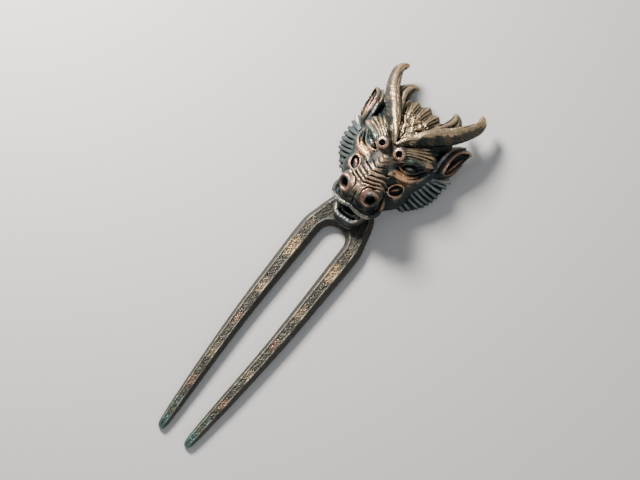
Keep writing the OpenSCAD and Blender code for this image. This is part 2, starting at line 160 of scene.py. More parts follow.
class Wax:  # the right half of a form; x runs outwards from the middle plane, and the left half mirrors it
    def __init__(self, low, high, step):
        self.step = step
        self.low = np.array(low, float)
        counts = np.ceil((np.array(high) - self.low) / step).astype(int) + 1
        self.lines = [(self.low[i] + step * np.arange(counts[i])).astype(np.float32) for i in range(3)]
        self.field = np.full(counts, waxRules["far"], np.float32)

    def room(self, low, high):  # the part of the grid inside a box, and its x, y and z
        spans = []
        for i in range(3):
            count = self.field.shape[i]
            start = min(max(int((low[i] - self.low[i]) / self.step), 0), count)
            stop = min(max(int((high[i] - self.low[i]) / self.step) + 2, start), count)
            spans.append(slice(start, stop))
        x, y, z = (line[span] for line, span in zip(self.lines, spans))
        return tuple(spans), x[:, None, None], y[None, :, None], z[None, None, :]

    def roomRound(self, at, reach, axes):  # the same round a point, and how far it goes along each axis
        span, x, y, z = self.room(np.array(at) - reach, np.array(at) + reach)
        offset = x - at[0], y - at[1], z - at[2]
        return span, [projected(offset, axis) for axis in axes]

    def press(self, span, distance, soft, cut):
        part = self.field[span]
        self.field[span] = shared(part, -distance, soft) if cut else joined(part, distance, soft)

    def sweep(self, rows, soft=0.5, cut=False, steps=6, pattern=None):  # rows: x, y, z, width, height
        path = smoothRows(rows, steps)
        path[:, 3:5] = np.maximum(path[:, 3:5], waxRules["thinnest"])
        around = path[:, 3:5].max() / 2 + soft + waxRules["spare"] * self.step
        span, x, y, z = self.room(path[:, :3].min(0) - around, path[:, :3].max(0) + around)
        best = np.full((x.size, y.size, z.size), waxRules["far"], np.float32)
        along, turn = np.zeros_like(best), np.zeros_like(best)
        for i in range(len(path) - 1):
            a, b = path[i], path[i + 1]
            reach = max(a[3:5].max(), b[3:5].max()) / 2 + soft + waxRules["spare"] * self.step
            near, x, y, z = self.room(np.minimum(a, b)[:3] - reach, np.maximum(a, b)[:3] + reach)
            local = tuple(slice(n.start - s.start, n.stop - s.start) for n, s in zip(near, span))
            way = (b - a)[:3]
            size = np.linalg.norm(way)
            ahead = way / size
            side = np.cross(ahead, [0, 0, 1])
            side = side / max(np.linalg.norm(side), tiny)
            offset = x - a[0], y - a[1], z - a[2]
            t = np.clip(projected(offset, way) / size ** 2, 0, 1)
            offset = [part - t * step for part, step in zip(offset, way)]
            u, v, w = (projected(offset, axis) for axis in (side, np.cross(side, ahead), ahead))
            ru, rv = (a[3] + t * (b[3] - a[3])) / 2, (a[4] + t * (b[4] - a[4])) / 2
            rw = np.minimum(ru, rv)
            distance = eggDistance((u, v, w), (ru, rv, rw), rw)
            closer = distance < best[local]
            best[local] = np.where(closer, distance, best[local])
            if pattern:
                along[local] = np.where(closer, i + t, along[local])
                turn[local] = np.where(closer, np.arctan2(v / rv, u / ru), turn[local])
        if pattern:
            best -= pattern(along / (len(path) - 1), turn)
        self.press(span, best, soft, cut)

    def lump(self, at, size, ahead=(1, 0, 0), up=(0, 0, 1), soft=0.5, cut=False):  # an egg shape, turned
        around = max(size) + soft + waxRules["eggSpare"] * self.step
        span, parts = self.roomRound(at, around, turnedAxes(ahead, up))
        self.press(span, eggDistance(parts, size, min(size)), soft, cut)

    def ring(self, at, axis, reach, tube, ahead=(1, 0, 0), soft=0.3):  # an oval hoop that faces an axis
        around = max(reach) + tube + soft + waxRules["eggSpare"] * self.step
        span, (w, v, u) = self.roomRound(at, around, turnedAxes(axis, ahead))
        near = np.sqrt((u / reach[0]) ** 2 + (v / reach[1]) ** 2) + tiny
        slope = np.sqrt((u / reach[0] ** 2) ** 2 + (v / reach[1] ** 2) ** 2) + tiny
        self.press(span, np.sqrt(((near - 1) * near / slope) ** 2 + w ** 2) - tube, soft, False)

    def drill(self, at, axis, radius, depth, soft=0.25):  # a round-bottomed hole from above
        at, axis, wide = np.array(at), unit(axis), 2 * radius
        ends = at + waxRules["drillStart"] * axis, at - (depth - radius) * axis
        self.sweep([[*end, wide, wide] for end in ends], soft, True, 2)

    def leaf(self, base, tip, width, form):  # a veined leaf, folded along its middle
        base, tip = np.array(base, float), np.array(tip, float)
        keel, bend, thick, soft = (form[key] for key in ("keel", "bend", "thick", "soft"))
        reach = np.linalg.norm(tip - base)
        ahead = (tip - base) / reach
        side = unit(np.cross(ahead, [0, 0, 1]))
        around = width / 2 + keel + bend + 1
        span, x, y, z = self.room(np.minimum(base, tip) - around, np.maximum(base, tip) + around)
        offset = x - base[0], y - base[1], z - base[2]
        s, v, n = (projected(offset, axis) for axis in (ahead, side, np.cross(side, ahead)))
        share = np.clip(s / reach, 0, 1)
        half = width / 2 * np.interp(share, form["along"], form["half"])
        out = np.abs(v) / half
        veins = swell(2 * math.pi * (form["veins"] * out - form["slant"] * share), np.cos)
        roof = keel * (1 - out) - form["veinDepth"] * veins ** 2 * np.clip(out * 4, 0, 1) * (1 - share ** 4)
        n = n - 4 * bend * share * (1 - share)
        distance = shared((n - roof) * form["slope"], -thick - n, soft)
        distance = shared(distance, np.abs(v) - half, soft)
        self.press(span, shared(distance, np.maximum(s - reach, -s), soft), soft, False)

    def dome(self, rows, soft, cut=False, edge=0.6):  # rows: y, half width, underside, rim, crown, roundness
        fine = smoothRows(rows, 6)
        first, last, spare = fine[0, 0], fine[-1, 0], waxRules["domeSpare"]
        half, height = fine[:, 1].max() + spare, fine[:, 4].max() + waxRules["domeTop"]
        low = fine[:, 2].min() - spare
        span, x, y, z = self.room([0, first - spare, low], [half, last + spare, height])
        wide, under, rim, crest, power = (
            np.interp(y, fine[:, 0], fine[:, i]).astype(np.float32) for i in range(1, 6))
        top = rim + (crest - rim) * (1 - (np.abs(x) / wide) ** power)
        slopes = np.gradient(top[:, :, 0], self.step)
        steep = np.sqrt(1 + slopes[0] ** 2 + slopes[1] ** 2)[:, :, None].clip(1, waxRules["steepest"])
        distance = shared((z - top) / steep, x - wide, edge)
        distance = shared(distance, under - z, edge)
        self.press(span, shared(distance, np.maximum(first - y, y - last), edge), soft, cut)

    def stroke(self, rows, floor=2, steps=5):  # rows: x, y, width, height. A line raised or, below 0, cut
        path = smoothRows(rows, steps)
        path[:, 2] = np.maximum(path[:, 2], waxRules["hairline"])
        around = path[:, 2].max() / 2 + self.step
        low, high = path[:, :2].min(0) - around, path[:, :2].max(0) + around
        span, x, y, z = self.room([*low, floor], [*high, waxRules["sky"]])
        x, y = x[:, :, 0], y[:, :, 0]
        lift = np.zeros((x.size, y.size), np.float32)
        for a, b in zip(path[:-1], path[1:]):
            t, away = fromLine(x, y, a, b)
            share = np.clip(1 - (away / ((a[2] + t * (b[2] - a[2])) / 2)) ** 2, 0, 1) ** 2
            level = share * (a[3] + t * (b[3] - a[3]))
            lift = np.where(np.abs(level) > np.abs(lift), level, lift)
        self.field[span] -= lift[:, :, None] * np.clip((z - floor) / waxRules["fade"], 0, 1)

    def roughen(self, amount, seed):  # the slight unevenness of a cast surface
        spots = np.random.default_rng(seed).standard_normal(self.field.shape, dtype=np.float32)
        fine, coarse = boxBlur(spots, 1), boxBlur(spots, 3)
        self.field += amount * (fine / fine.std() + coarse / coarse.std())

    def height(self, x, y):  # the top of the wax over a point
        i, j = (int(round((value - start) / self.step)) for value, start in zip((abs(x), y), self.low))
        column = self.field[i, j]
        inside = np.nonzero(column < 0)[0]
        if not len(inside) or inside[-1] + 1 == len(column):
            return self.low[2]
        k = inside[-1]
        return float(self.lines[2][k] + self.step * column[k] / (column[k] - column[k + 1]))

    def lay(self, rows, soft=0.2):  # a sweep over the wax. Rows: x, y, lift, width, height
        heights = [self.height(row[0], row[1]) for row in rows]
        self.sweep([[x, y, top + lift, wide, high] for (x, y, lift, wide, high), top in zip(rows, heights)],
                   soft, steps=4)

    def block(self, low, high):  # a plain box cut away
        span, *places = self.room(np.array(low) - 1, np.array(high) + 1)
        gaps = [np.maximum(low[i] - places[i], places[i] - high[i]) for i in range(3)]
        distance = np.maximum(np.maximum(gaps[0], gaps[1]), gaps[2])
        self.field[span] = np.maximum(self.field[span], -distance)

    def cast(self, name, detail, material):  # the mesh, with how proud each point stands
        whole = np.concatenate([self.field[:0:-1], self.field]).astype(np.float32)
        grid = openvdb.FloatGrid(waxRules["outside"])
        grid.copyFromArray(whole)
        points, triangles, quads = grid.convertToPolygons(0.0, detail)
        mesh = bpy.data.meshes.new(name)
        faces = triangles.tolist() + quads.tolist()
        low = np.array([-self.lines[0][-1], self.low[1], self.low[2]])
        placed = (low + points * self.step + np.array([0, yShift, 0])) / 1000
        mesh.from_pydata(placed.tolist(), [], faces)
        mesh.polygons.foreach_set("use_smooth", np.ones(len(faces), bool))
        mesh.materials.append(material)
        level = np.clip(whole, -waxRules["proudest"], waxRules["proudest"])
        for label, reach in waxRules["relief"].items():
            proud = boxBlur(level, max(int(reach / self.step), 1))
            stamp(mesh, label, sampled(proud, points) / reach)
        mesh.update()
        stamp(mesh, "facing", upward(mesh))
        print(name, len(triangles) + 2 * len(quads), "triangles")
        return setOut(name, mesh)


class Wire:  # a socket of a node tree: arithmetic on it makes nodes, and so do its functions
    def __init__(self, tree, socket=None):
        self.tree, self.socket = tree, socket

    def node(self, kind, settings=None, inputs=None, output=0):
        made = self.tree.nodes.new(kind)
        for key, value in (settings or {}).items():
            setattr(made, key, value)
        for key, value in (inputs or {}).items():
            if isinstance(value, Wire):
                self.tree.links.new(value.socket, made.inputs[key])
            else:
                made.inputs[key].default_value = value
        return Wire(self.tree, made.outputs[output])

    def then(self, kind, inputs=None):  # the next node for this geometry, which is its first input
        return self.node("GeometryNode" + kind, inputs={0: self, **(inputs or {})})

    def vector(self, x=0, y=0, z=0):
        return self.node("ShaderNodeCombineXYZ", inputs={0: x, 1: y, 2: z})

    def vectors(self, operation, other, key=1, output=0):
        return self.node("ShaderNodeVectorMath", {"operation": operation}, {0: self, key: other}, output)

    def maths(self, operation, first, second=0):
        return self.node("ShaderNodeMath", {"operation": operation}, {0: first, 1: second})

    def __add__(self, other):
        return self.maths("ADD", self, other)

    def __sub__(self, other):
        return self.maths("SUBTRACT", self, other)

    def __rsub__(self, other):
        return self.maths("SUBTRACT", other, self)

    def __mul__(self, other):
        return self.maths("MULTIPLY", self, other)

    def __truediv__(self, other):
        return self.maths("DIVIDE", self, other)

    def __pow__(self, other):
        return self.maths("POWER", self, other)

    __radd__ = __add__
    __rmul__ = __mul__


# The finishes. Each surface is dark patina in its hollows and rubbed metal where it stands proud.
# Upward faces count as prouder and steep sides as less: painted light on tops, painted shade on flanks.
# A spot tints it near a point on both sides: x, y, radius, colour, strength; a few spots are painted glints
# and painted shade. A wear row rubs the metal brighter, or leaves it dull: x, y, radius, amount; some of the
# darkening rows are painted shade
finishes = {
    "maskBronze": {
        "low": (0.008, 0.016, 0.018), "mid": (0.036, 0.048, 0.047), "high": (0.61, 0.42, 0.27),
        "rub": (0.04, 0.34), "dirt": (-0.02, -0.26), "tilt": 0.22, "blotch": 0.22, "grain": 900,
        "bump": 0.75, "metal": (0.5, 0.92), "rough": (0.56, 0.27), "narrow": 1,
        "spots": [
            (0, 102.5, 8.5, (0.82, 0.58, 0.4), 0.8), (0, 113.4, 4.4, (0.7, 0.5, 0.34), 0.8),
            (4.9, 98.2, 4.2, (0.54, 0.23, 0.16), 0.7), (3.4, 117, 2.9, (0.56, 0.33, 0.26), 0.6),
            (0, 92, 4.8, (0.21, 0.27, 0.27), 0.9), (5.6, 94.6, 3, (0.24, 0.26, 0.23), 0.85),
            (8, 97.8, 3, (0.2, 0.2, 0.165), 0.9), (3, 94.4, 2.4, (0.26, 0.26, 0.22), 0.8),
            (8.5, 113.6, 4.2, (0.94, 0.52, 0.26), 0.85), (9.6, 122.6, 4.8, (0.56, 0.42, 0.24), 0.7),
            # the dark spot at 8.3, 117.6 is painted shade in the eye's socket under the brow, over its
            # patina
            (8.3, 117.6, 3.3, (0.12, 0.16, 0.15), 0.95), (8.4, 108.7, 2.8, (0.46, 0.2, 0.16), 0.65),
            (12.6, 110.6, 3.6, (0.15, 0.21, 0.22), 0.85), (15.4, 118, 4, (0.15, 0.21, 0.22), 0.85),
            (16.8, 130.4, 4.4, (0.42, 0.22, 0.165), 0.75), (14.4, 126, 2.4, (0.13, 0.15, 0.155), 0.95),
            (14.5, 129.2, 1.8, (0.15, 0.17, 0.165), 0.9), (15.4, 133.4, 2, (0.33, 0.31, 0.2), 0.8),
            (18.4, 127, 2.3, (0.55, 0.26, 0.12), 0.6), (11.2, 118.8, 2.4, (0.13, 0.17, 0.16), 0.9),
            (14.3, 123.2, 1.7, (0.14, 0.16, 0.16), 0.95), (6.4, 120, 2.4, (0.58, 0.47, 0.3), 0.7),
            # the two grey-blue spots here are painted glints in the nostril and in the boss's hole
            (4.6, 99.1, 1.6, (0.24, 0.3, 0.33), 0.8), (3.3, 117.4, 1.1, (0.24, 0.3, 0.33), 0.8),
            (7.8, 117.1, 1.6, (0.25, 0.29, 0.26), 0.9),
        ],
        "wear": [
            (8.5, 113.6, 4.4, 0.18), (0, 112.8, 3.4, 0.08), (0, 103, 6.5, 0.2), (3.4, 117.1, 3, 0.08),
            (9.4, 122.4, 4.4, 0.2), (8, 97.6, 3.4, -0.3), (4.6, 99.2, 1.7, -0.12), (3.25, 117.6, 1.2, -0.1),
            # the row at 8.3, 117.4 darkens the eye's socket: painted shade under the brow
            (8.3, 117.4, 3, -0.18), (7.8, 117.1, 1.7, 0.26), (6.4, 120, 2.6, 0.22),
            (11.2, 118.8, 2.2, -0.16), (15.6, 110.2, 2.6, -0.5), (14.3, 123.2, 1.6, -0.1),
            (12.5, 111.4, 4, -0.12), (10, 128.4, 3.6, -0.12), (17.4, 113, 3.6, -0.5),
            (18.4, 118.6, 3.2, -0.5), (13.4, 107.4, 3, -0.5), (19.4, 121.6, 3, -0.4),
        ],
    },
    "crownBronze": {
        "low": (0.012, 0.018, 0.015), "mid": (0.085, 0.072, 0.046), "high": (0.74, 0.54, 0.325),
        "rub": (0.02, 0.3), "dirt": (-0.04, -0.3), "tilt": 0.5, "blotch": 0.22, "grain": 900, "bump": 0.75,
        "metal": (0.55, 0.92), "rough": (0.52, 0.28), "narrow": 1,
        "spots": [(0, 124, 4, (0.4, 0.32, 0.22), 0.6), (15.5, 146, 4, (0.46, 0.32, 0.15), 0.6),
                  (3, 136.5, 4, (0.52, 0.35, 0.18), 0.5), (11, 133.5, 3.4, (0.74, 0.5, 0.32), 0.6)],
        # the rows below 0 are painted shade on the horns' outer flanks
        "wear": [(0, 133, 6, 0.06), (12, 136, 4, 0.06), (1.6, 127.8, 5.4, 0.16), (16.4, 146.4, 3, 0.14),
                 (3.6, 121, 1.6, -0.25), (7.2, 125.2, 2.3, -0.32), (11.1, 129.4, 2.4, -0.3),
                 (14.6, 134.1, 2.2, -0.18)],
    },
    "ribBronze": {
        "low": (0.01, 0.016, 0.018), "mid": (0.055, 0.075, 0.08), "high": (0.25, 0.285, 0.275),
        "rub": (0.02, 0.3), "dirt": (0, -0.16), "tilt": 0, "blotch": 0.24, "grain": 900, "bump": 0.6,
        "metal": (0.5, 0.85), "rough": (0.55, 0.32), "narrow": 1,
        "spots": [(18, 124.4, 3, (0.44, 0.41, 0.35), 0.8), (13, 107.6, 3.4, (0.22, 0.24, 0.23), 0.7)],
        "wear": [(18, 124.4, 3, 0.1)],
    },
    "forkBronze": {
        "low": (0.034, 0.044, 0.04), "mid": (0.06, 0.054, 0.045), "high": (0.215, 0.21, 0.155),
        "rub": (0.07, 0.38), "dirt": (-0.05, -0.3), "tilt": 0.16, "blotch": 0.2, "grain": 700, "bump": 0.55,
        "metal": (0.5, 0.85), "rough": (0.55, 0.34), "narrow": 2.4,
        "spots": [(5.4, 0.5, 6.5, (0.13, 0.27, 0.24), 0.8), (6, 9, 4, (0.13, 0.24, 0.19), 0.6),
                  (6.6, 17.5, 3.6, (0.4, 0.24, 0.16), 0.7), (7.2, 30, 3.6, (0.42, 0.32, 0.2), 0.7),
                  (7.8, 43.5, 3.4, (0.44, 0.22, 0.16), 0.7), (8.1, 57, 4.4, (0.46, 0.34, 0.21), 0.8),
                  (8.3, 74, 5.8, (0.52, 0.35, 0.19), 0.85), (8.6, 84, 3, (0.36, 0.25, 0.17), 0.6)],
        "wear": [(6.6, 17.5, 3, 0.08), (7.2, 30, 3, 0.08), (7.8, 43.5, 3, 0.08), (8.1, 57, 3.8, 0.1),
                 (8.3, 74, 5, 0.12)],
    },
}

shading = {
    "cloud": 210, "fineShare": 0.5, "broadShare": 0.7, "level": 0.7, "toneRange": (0.35, 0.7),
    "groundRange": (0.35, 0.65), "dims": (0.72, 0.6), "spotGround": 0.5, "spotDim": 0.3,
    # how far a spot's edge wanders and where its inner edge is, in parts of its radius
    "ragged": 1200, "inner": 2200,
    "roughSpeck": 0.25, "roughDirt": 0.18, "pitScale": 2.2, "pitShare": 0.6, "bumpHeight": 0.0003,
}


def graded(value, first, last):  # 0 at the first value and 1 at the last, with soft ends
    return value.node("ShaderNodeMapRange", {"interpolation_type": "SMOOTHSTEP"},
                      {"Value": value, "From Min": first, "From Max": last})


def opaque(colour, dim=1):
    return tuple(c * dim for c in colour) + (1,)


def blended(mask, first, second):
    return mask.node("ShaderNodeMix", {"data_type": "RGBA"}, {0: mask, 6: first, 7: second}, 2)


def noisy(coords, scale, detail=4, roughness=0.6):
    return coords.node("ShaderNodeTexNoise", inputs={
        "Vector": coords, "Scale": scale, "Detail": detail, "Roughness": roughness})


def bronze(name, look):
    made = bpy.data.materials.new(name)
    made.use_nodes = True
    start, shader = Wire(made.node_tree), made.node_tree.nodes["Principled BSDF"]
    coords = start.node("ShaderNodeTexCoord", output=3)
    fine, broad, facing = (start.node("ShaderNodeAttribute", {"attribute_name": label}, output=2)
                           for label in ("fineRelief", "broadRelief", "facing"))
    cloud, speck = noisy(coords, shading["cloud"]), noisy(coords, look["grain"], 6, 0.7)
    proud = fine * shading["fineShare"] + broad * shading["broadShare"]
    # painted light and shade: faces that point up count as prouder and steep flanks as less, so tops are lit
    # and flanks shaded
    proud = proud + (facing - shading["level"]) * look["tilt"]
    proud = proud + (cloud - 0.5) * look["blotch"] + (speck - 0.5) * look["blotch"]
    x, y = (start.node("ShaderNodeSeparateXYZ", inputs={0: coords}, output=i) for i in range(2))
    flat = x.vector(x.maths("ABSOLUTE", x) * look["narrow"], y)

    def near(spotX, spotY, reach):
        at = (spotX * look["narrow"] / 1000, (spotY + yShift) / 1000, 0)
        away = flat.vectors("DISTANCE", at, output=1) + (cloud - 0.5) * (reach / shading["ragged"])
        return graded(away, reach / 1000, reach / shading["inner"])

    for spotX, spotY, reach, amount in look["wear"]:
        proud = proud + near(spotX, spotY, reach) * amount
    # the rubbed mask also holds the painted light, and the dark patina mask the painted shade
    rubbedAndLit, patinaAndShade = graded(proud, *look["rub"]), graded(proud, *look["dirt"])
    dimHigh, dimMid = shading["dims"]
    high, mid = look["high"], look["mid"]
    tone = blended(graded(cloud, *shading["toneRange"]), opaque(high, dimHigh), opaque(high))
    ground = blended(graded(speck, *shading["groundRange"]), opaque(mid, dimMid), opaque(mid))
    for spotX, spotY, reach, colour, strength in look["spots"]:
        mask = near(spotX, spotY, reach) * strength
        tone = blended(mask, tone, opaque(colour))
        ground = blended(mask * shading["spotGround"], ground, opaque(colour, shading["spotDim"]))
    colour = blended(patinaAndShade, blended(rubbedAndLit, ground, tone), opaque(look["low"]))
    worn, dull = look["metal"], look["rough"]
    metal = rubbedAndLit * (worn[1] - worn[0]) + worn[0]
    rough = rubbedAndLit * (dull[1] - dull[0]) + dull[0]
    rough = rough + (speck - 0.5) * shading["roughSpeck"] - patinaAndShade * shading["roughDirt"]
    pits = noisy(coords, look["grain"] * shading["pitScale"], 3)
    bump = start.node("ShaderNodeBump", inputs={
        "Strength": look["bump"], "Distance": shading["bumpHeight"],
        "Height": speck + pits * shading["pitShare"]})
    for wire, label in ((colour, "Base Color"), (metal, "Metallic"), (rough, "Roughness"), (bump, "Normal")):
        start.tree.links.new(wire.socket, shader.inputs[label])
    return made


print("mixing the finishes")
maskBronze, crownBronze, ribBronze, forkBronze = (bronze(name, look) for name, look in finishes.items())


# The face. Columns of a dome: y, half width, underside, rim, crown, roundness. Of a sweep: x, y, z, width,
# height. Of a stroke over the surface: x, y, width, height, with a height below 0 for a groove
face = {
    "grid": 0.2, "detail": 0.12, "room": ([0, 88, -1.4], [22.4, 139, 23.4]),
    "skull": [
        [101.6, 6, 0, 2, 9, 2.2], [104, 8.6, 0, 2.2, 11, 2.2], [107, 11.2, 0, 2.4, 12.6, 2.2],
        [110.5, 13.6, 0, 2.6, 13.6, 2.2], [114.5, 15.4, 0, 2.8, 14, 2.2], [118.5, 16.2, 0, 3.2, 15, 2.2],
        [122, 16.2, 0, 3.8, 16.6, 2.2], [126, 15.8, 0, 4.4, 16.4, 2.3], [130, 15.6, 0, 4.8, 14.6, 2.4],
        [133, 14.8, 1.2, 5.2, 12.4, 2.6], [135, 12.6, 3.6, 6.2, 10.8, 2.8], [136.4, 9.6, 6.2, 7.4, 9.4, 3],
    ],
    "muzzle": [
        [95.4, 4.4, 11.4, 12.8, 14.8, 2.4], [96.4, 6.2, 9.6, 12, 17.8, 3],
        [98.2, 7.2, 5.6, 11.2, 19.9, 3.4], [100.6, 7, 4, 10.6, 20.8, 3.6], [103.4, 6.4, 4, 10.4, 20.7, 4],
        [106.6, 6, 4, 10.4, 19.8, 4], [109.4, 5.2, 4, 10.4, 18.6, 3.2], [112.4, 3.8, 4, 10.4, 17.2, 2.4],
        [115.4, 2.6, 6, 11, 16, 2], [118.6, 2, 8, 13, 16.8, 2],
    ],
    "hollow": [[108.8, 6, -2, 0.2, 5, 3], [110.4, 9, -2, 0.4, 9, 2.4], [114, 11.8, -2, 0.6, 11, 2.2],
               [119, 13, -2, 0.8, 12, 2.2], [124, 12.8, -2, 1.2, 12.6, 2.2],
               [128.4, 11.6, -2, 1, 10.4, 2.4], [131.4, 8.6, -2, 0.6, 6, 3]],
    # the thin plate that the frill's ribs stand on
    "frillWeb": [[11.1, 107.6, 0.9, 3.5, 1.8], [13.3, 110.4, 0.9, 4.7, 1.8], [14.9, 113.4, 0.9, 5.5, 1.8],
                 [16.1, 117, 0.9, 5.7, 1.8], [16.5, 121, 0.9, 5.1, 1.8], [16.8, 124, 1, 3.5, 1.8]],
    "rough": (0.02, 3),
    # room for the fork's neck and tang, and the flat underside
    "cuts": [([-30, 80, -9], [30, 101.6, 4.4]), ([-30, 80, -9], [4.7, 107.1, 4.4]),
             ([-30, 80, -9], [30, 150, 0])],
}

brow = {
    "body": [[1.9, 117.6, 15.8, 2.6, 4], [3.6, 117.6, 16.4, 4.4, 4.8], [6, 119.6, 15.6, 5.4, 4.8],
             [8.8, 121.7, 13.4, 6.4, 4.4], [11, 123.6, 11.2, 6, 3.4], [12.3, 125, 9.8, 3.4, 2.2]],
    # the strands: waves round, waves along, sway, sways
    "wave": [16, 2.2, 0.5, 9],
    "raised": 0.15, "depth": 0.55, "sharp": 1.4,
    # loose strands at the far end, and the lower lobe: x, y, lift, width, height
    "strands": [
        [[6.8, 123.6, -0.2, 0.6, 0.7], [8.6, 125.4, 0.1, 1.1, 1], [10.6, 127.4, 0.3, 0.4, 0.4]],
        [[8.6, 123.8, -0.2, 0.6, 0.7], [10.6, 125.6, 0.2, 1.2, 1.1], [12.6, 127.6, 0.4, 0.4, 0.4]],
        [[9.8, 122.8, -0.2, 0.6, 0.7], [11.6, 124.2, 0.2, 1.2, 1.1], [13.6, 126, 0.4, 0.4, 0.4]],
        [[10.2, 121.4, -0.2, 0.7, 0.8], [12.2, 122.9, 0.2, 1.2, 1.1], [13.9, 124.4, 0.4, 0.4, 0.4]],
        [[5.6, 116.9, -0.2, 0.8, 1], [8.4, 118.7, -0.1, 1.4, 1.6], [11.2, 120.5, 0.1, 1.9, 1.8],
         [12.9, 121.7, 0.2, 1.9, 1.6], [13.7, 122.5, 0.2, 1, 1]],
    ],
    "bossAt": [3.4, 117.1, 18.6], "bossAxis": [0.1, -0.45, 0.9],
    # depth below the boss's rim, and width
    "column": [[3.6, 5], [0.5, 4.1]],
    "holeRadius": 1.08, "holeDepth": 1.25, "beadDepth": 0.95, "beadSize": [0.6, 0.6, 0.5],
    "rim": [1.62, 0.58], "rimLift": 0.25,
    # folds of skin on the bridge between the bosses, by their y, and the rows of one fold
    "folds": [114.3, 115.1, 115.9, 116.7, 117.5, 118.3],
    "fold": [[0, 0, 0.05, 0.5, 0.5], [0.7, 0.15, 0.05, 0.5, 0.5], [1.3, 0.5, 0, 0.25, 0.25]],
}


def browGrain(along, turn):  # deep strands that fan out from the boss
    strands = swell(ripple(along, turn, *brow["wave"]), np.cos)
    return brow["raised"] - brow["depth"] * strands ** brow["sharp"] * np.clip(along * 5, 0.2, 1)


def sculptBrow(wax):
    wax.sweep(brow["body"], soft=0.3, pattern=browGrain)
    for rows in brow["strands"]:
        wax.lay(rows, soft=0.15)
    at, axis = np.array(brow["bossAt"]), unit(brow["bossAxis"])
    wax.sweep([[*(at - depth * axis), wide, wide] for depth, wide in brow["column"]], soft=0.5)
    reach, tube = brow["rim"]
    wax.ring(at + brow["rimLift"] * axis, axis, [reach, reach], tube)
    for y in brow["folds"]:
        wax.lay([[x, y + rise, *size] for x, rise, *size in brow["fold"]], soft=0.12)


def drillBoss(wax):  # the hole in the boss, with a bead in it
    wax.drill(brow["bossAt"], brow["bossAxis"], brow["holeRadius"], brow["holeDepth"])
    wax.lump(brow["bossAt"] - brow["beadDepth"] * unit(brow["bossAxis"]), brow["beadSize"], soft=0.1)


eye = {
    "at": [7.8, 117.2, 10.7], "ahead": [0.88, 0.45, -0.14], "size": [2.3, 1, 1.5],
    "socketAt": [7.7, 117, 13.2], "socketSize": [4.3, 2.6, 2.9],
    "lowerLid": [[4.6, 115.2, 12.9, 0.6, 0.7], [6.2, 115.1, 12, 0.9, 0.9], [8.4, 115.7, 11.2, 1, 0.9],
                 [10, 116.9, 10.8, 1, 0.9], [11.1, 118.7, 10.5, 0.8, 0.8], [12, 120.4, 10.2, 0.4, 0.5]],
    "upperLid": [[5.4, 116.6, 12.4, 0.6, 0.7], [6.5, 118, 13.1, 1.1, 1.1], [8, 118.9, 13.1, 1.3, 1.2],
                 [9.8, 119.7, 12.3, 1.2, 1.1], [11.2, 120.6, 11, 0.5, 0.6]],
}


def sculptEye(wax):
    wax.lump(eye["at"], eye["size"], eye["ahead"], soft=0.1)
    wax.sweep(eye["lowerLid"], soft=0.5)
    wax.sweep(eye["upperLid"], soft=0.2)


cheek = {
    "ridge": [[4.4, 108.4, 14.2, 1, 1.2], [4.4, 110.2, 15, 1.8, 2], [5.6, 111.9, 14.2, 2.6, 2.6],
              [7.8, 112.9, 12.9, 2.9, 3], [10, 113.7, 11.6, 3.1, 3.4], [11.8, 115.3, 10.4, 2.9, 3.2],
              [12.7, 118, 9.1, 2.3, 2.6], [13.4, 121.6, 7, 1.3, 1.5]],
    # slanted cuts over the ridge
    "hatch": [[5.9, 112.2], [7.8, 112.9], [10, 113.7], [11.7, 115.4], [12.5, 118.2]],
    "hatchCount": 15, "hatchEnds": [[-0.7, -1], [0.6, 1]], "hatchCut": [0.6, -0.28],
    "moundAt": [7.6, 108.8, 5.4], "moundSize": [5, 4.8, 4.7], "ringAt": [8.4, 108.7, 9.9],
    "ringAxis": [0.5, -0.2, 0.82], "ringAhead": [0.65, 0.76, 0], "ringSize": [2.85, 2], "ringTube": 0.36,
    "bowlSize": [2.85, 2, 1.4], "bowlDepth": 0.2, "seed": [1.65, 0.7, 0.8], "seedDepth": 0.8,
}


def sculptCheek(wax):
    wax.sweep(cheek["ridge"], soft=0.6)
    wax.lump(cheek["moundAt"], cheek["moundSize"], soft=1.2)
    at, axis, ahead = np.array(cheek["ringAt"]), unit(cheek["ringAxis"]), cheek["ringAhead"]
    wax.lump(at - cheek["bowlDepth"] * axis, cheek["bowlSize"], ahead, axis, soft=0.3, cut=True)
    wax.ring(at, axis, cheek["ringSize"], cheek["ringTube"], ahead, soft=0.25)
    wax.lump(at - cheek["seedDepth"] * axis, cheek["seed"], ahead, axis, soft=0.12)
    line = smoothRows(cheek["hatch"], 6)
    shares = np.linspace(0, 1, cheek["hatchCount"])
    for x in np.interp(shares, np.linspace(0, 1, len(line)), line[:, 0]):
        y = np.interp(x, line[:, 0], line[:, 1])
        wax.stroke([[x + aside, y + rise, *cheek["hatchCut"]] for aside, rise in cheek["hatchEnds"]])


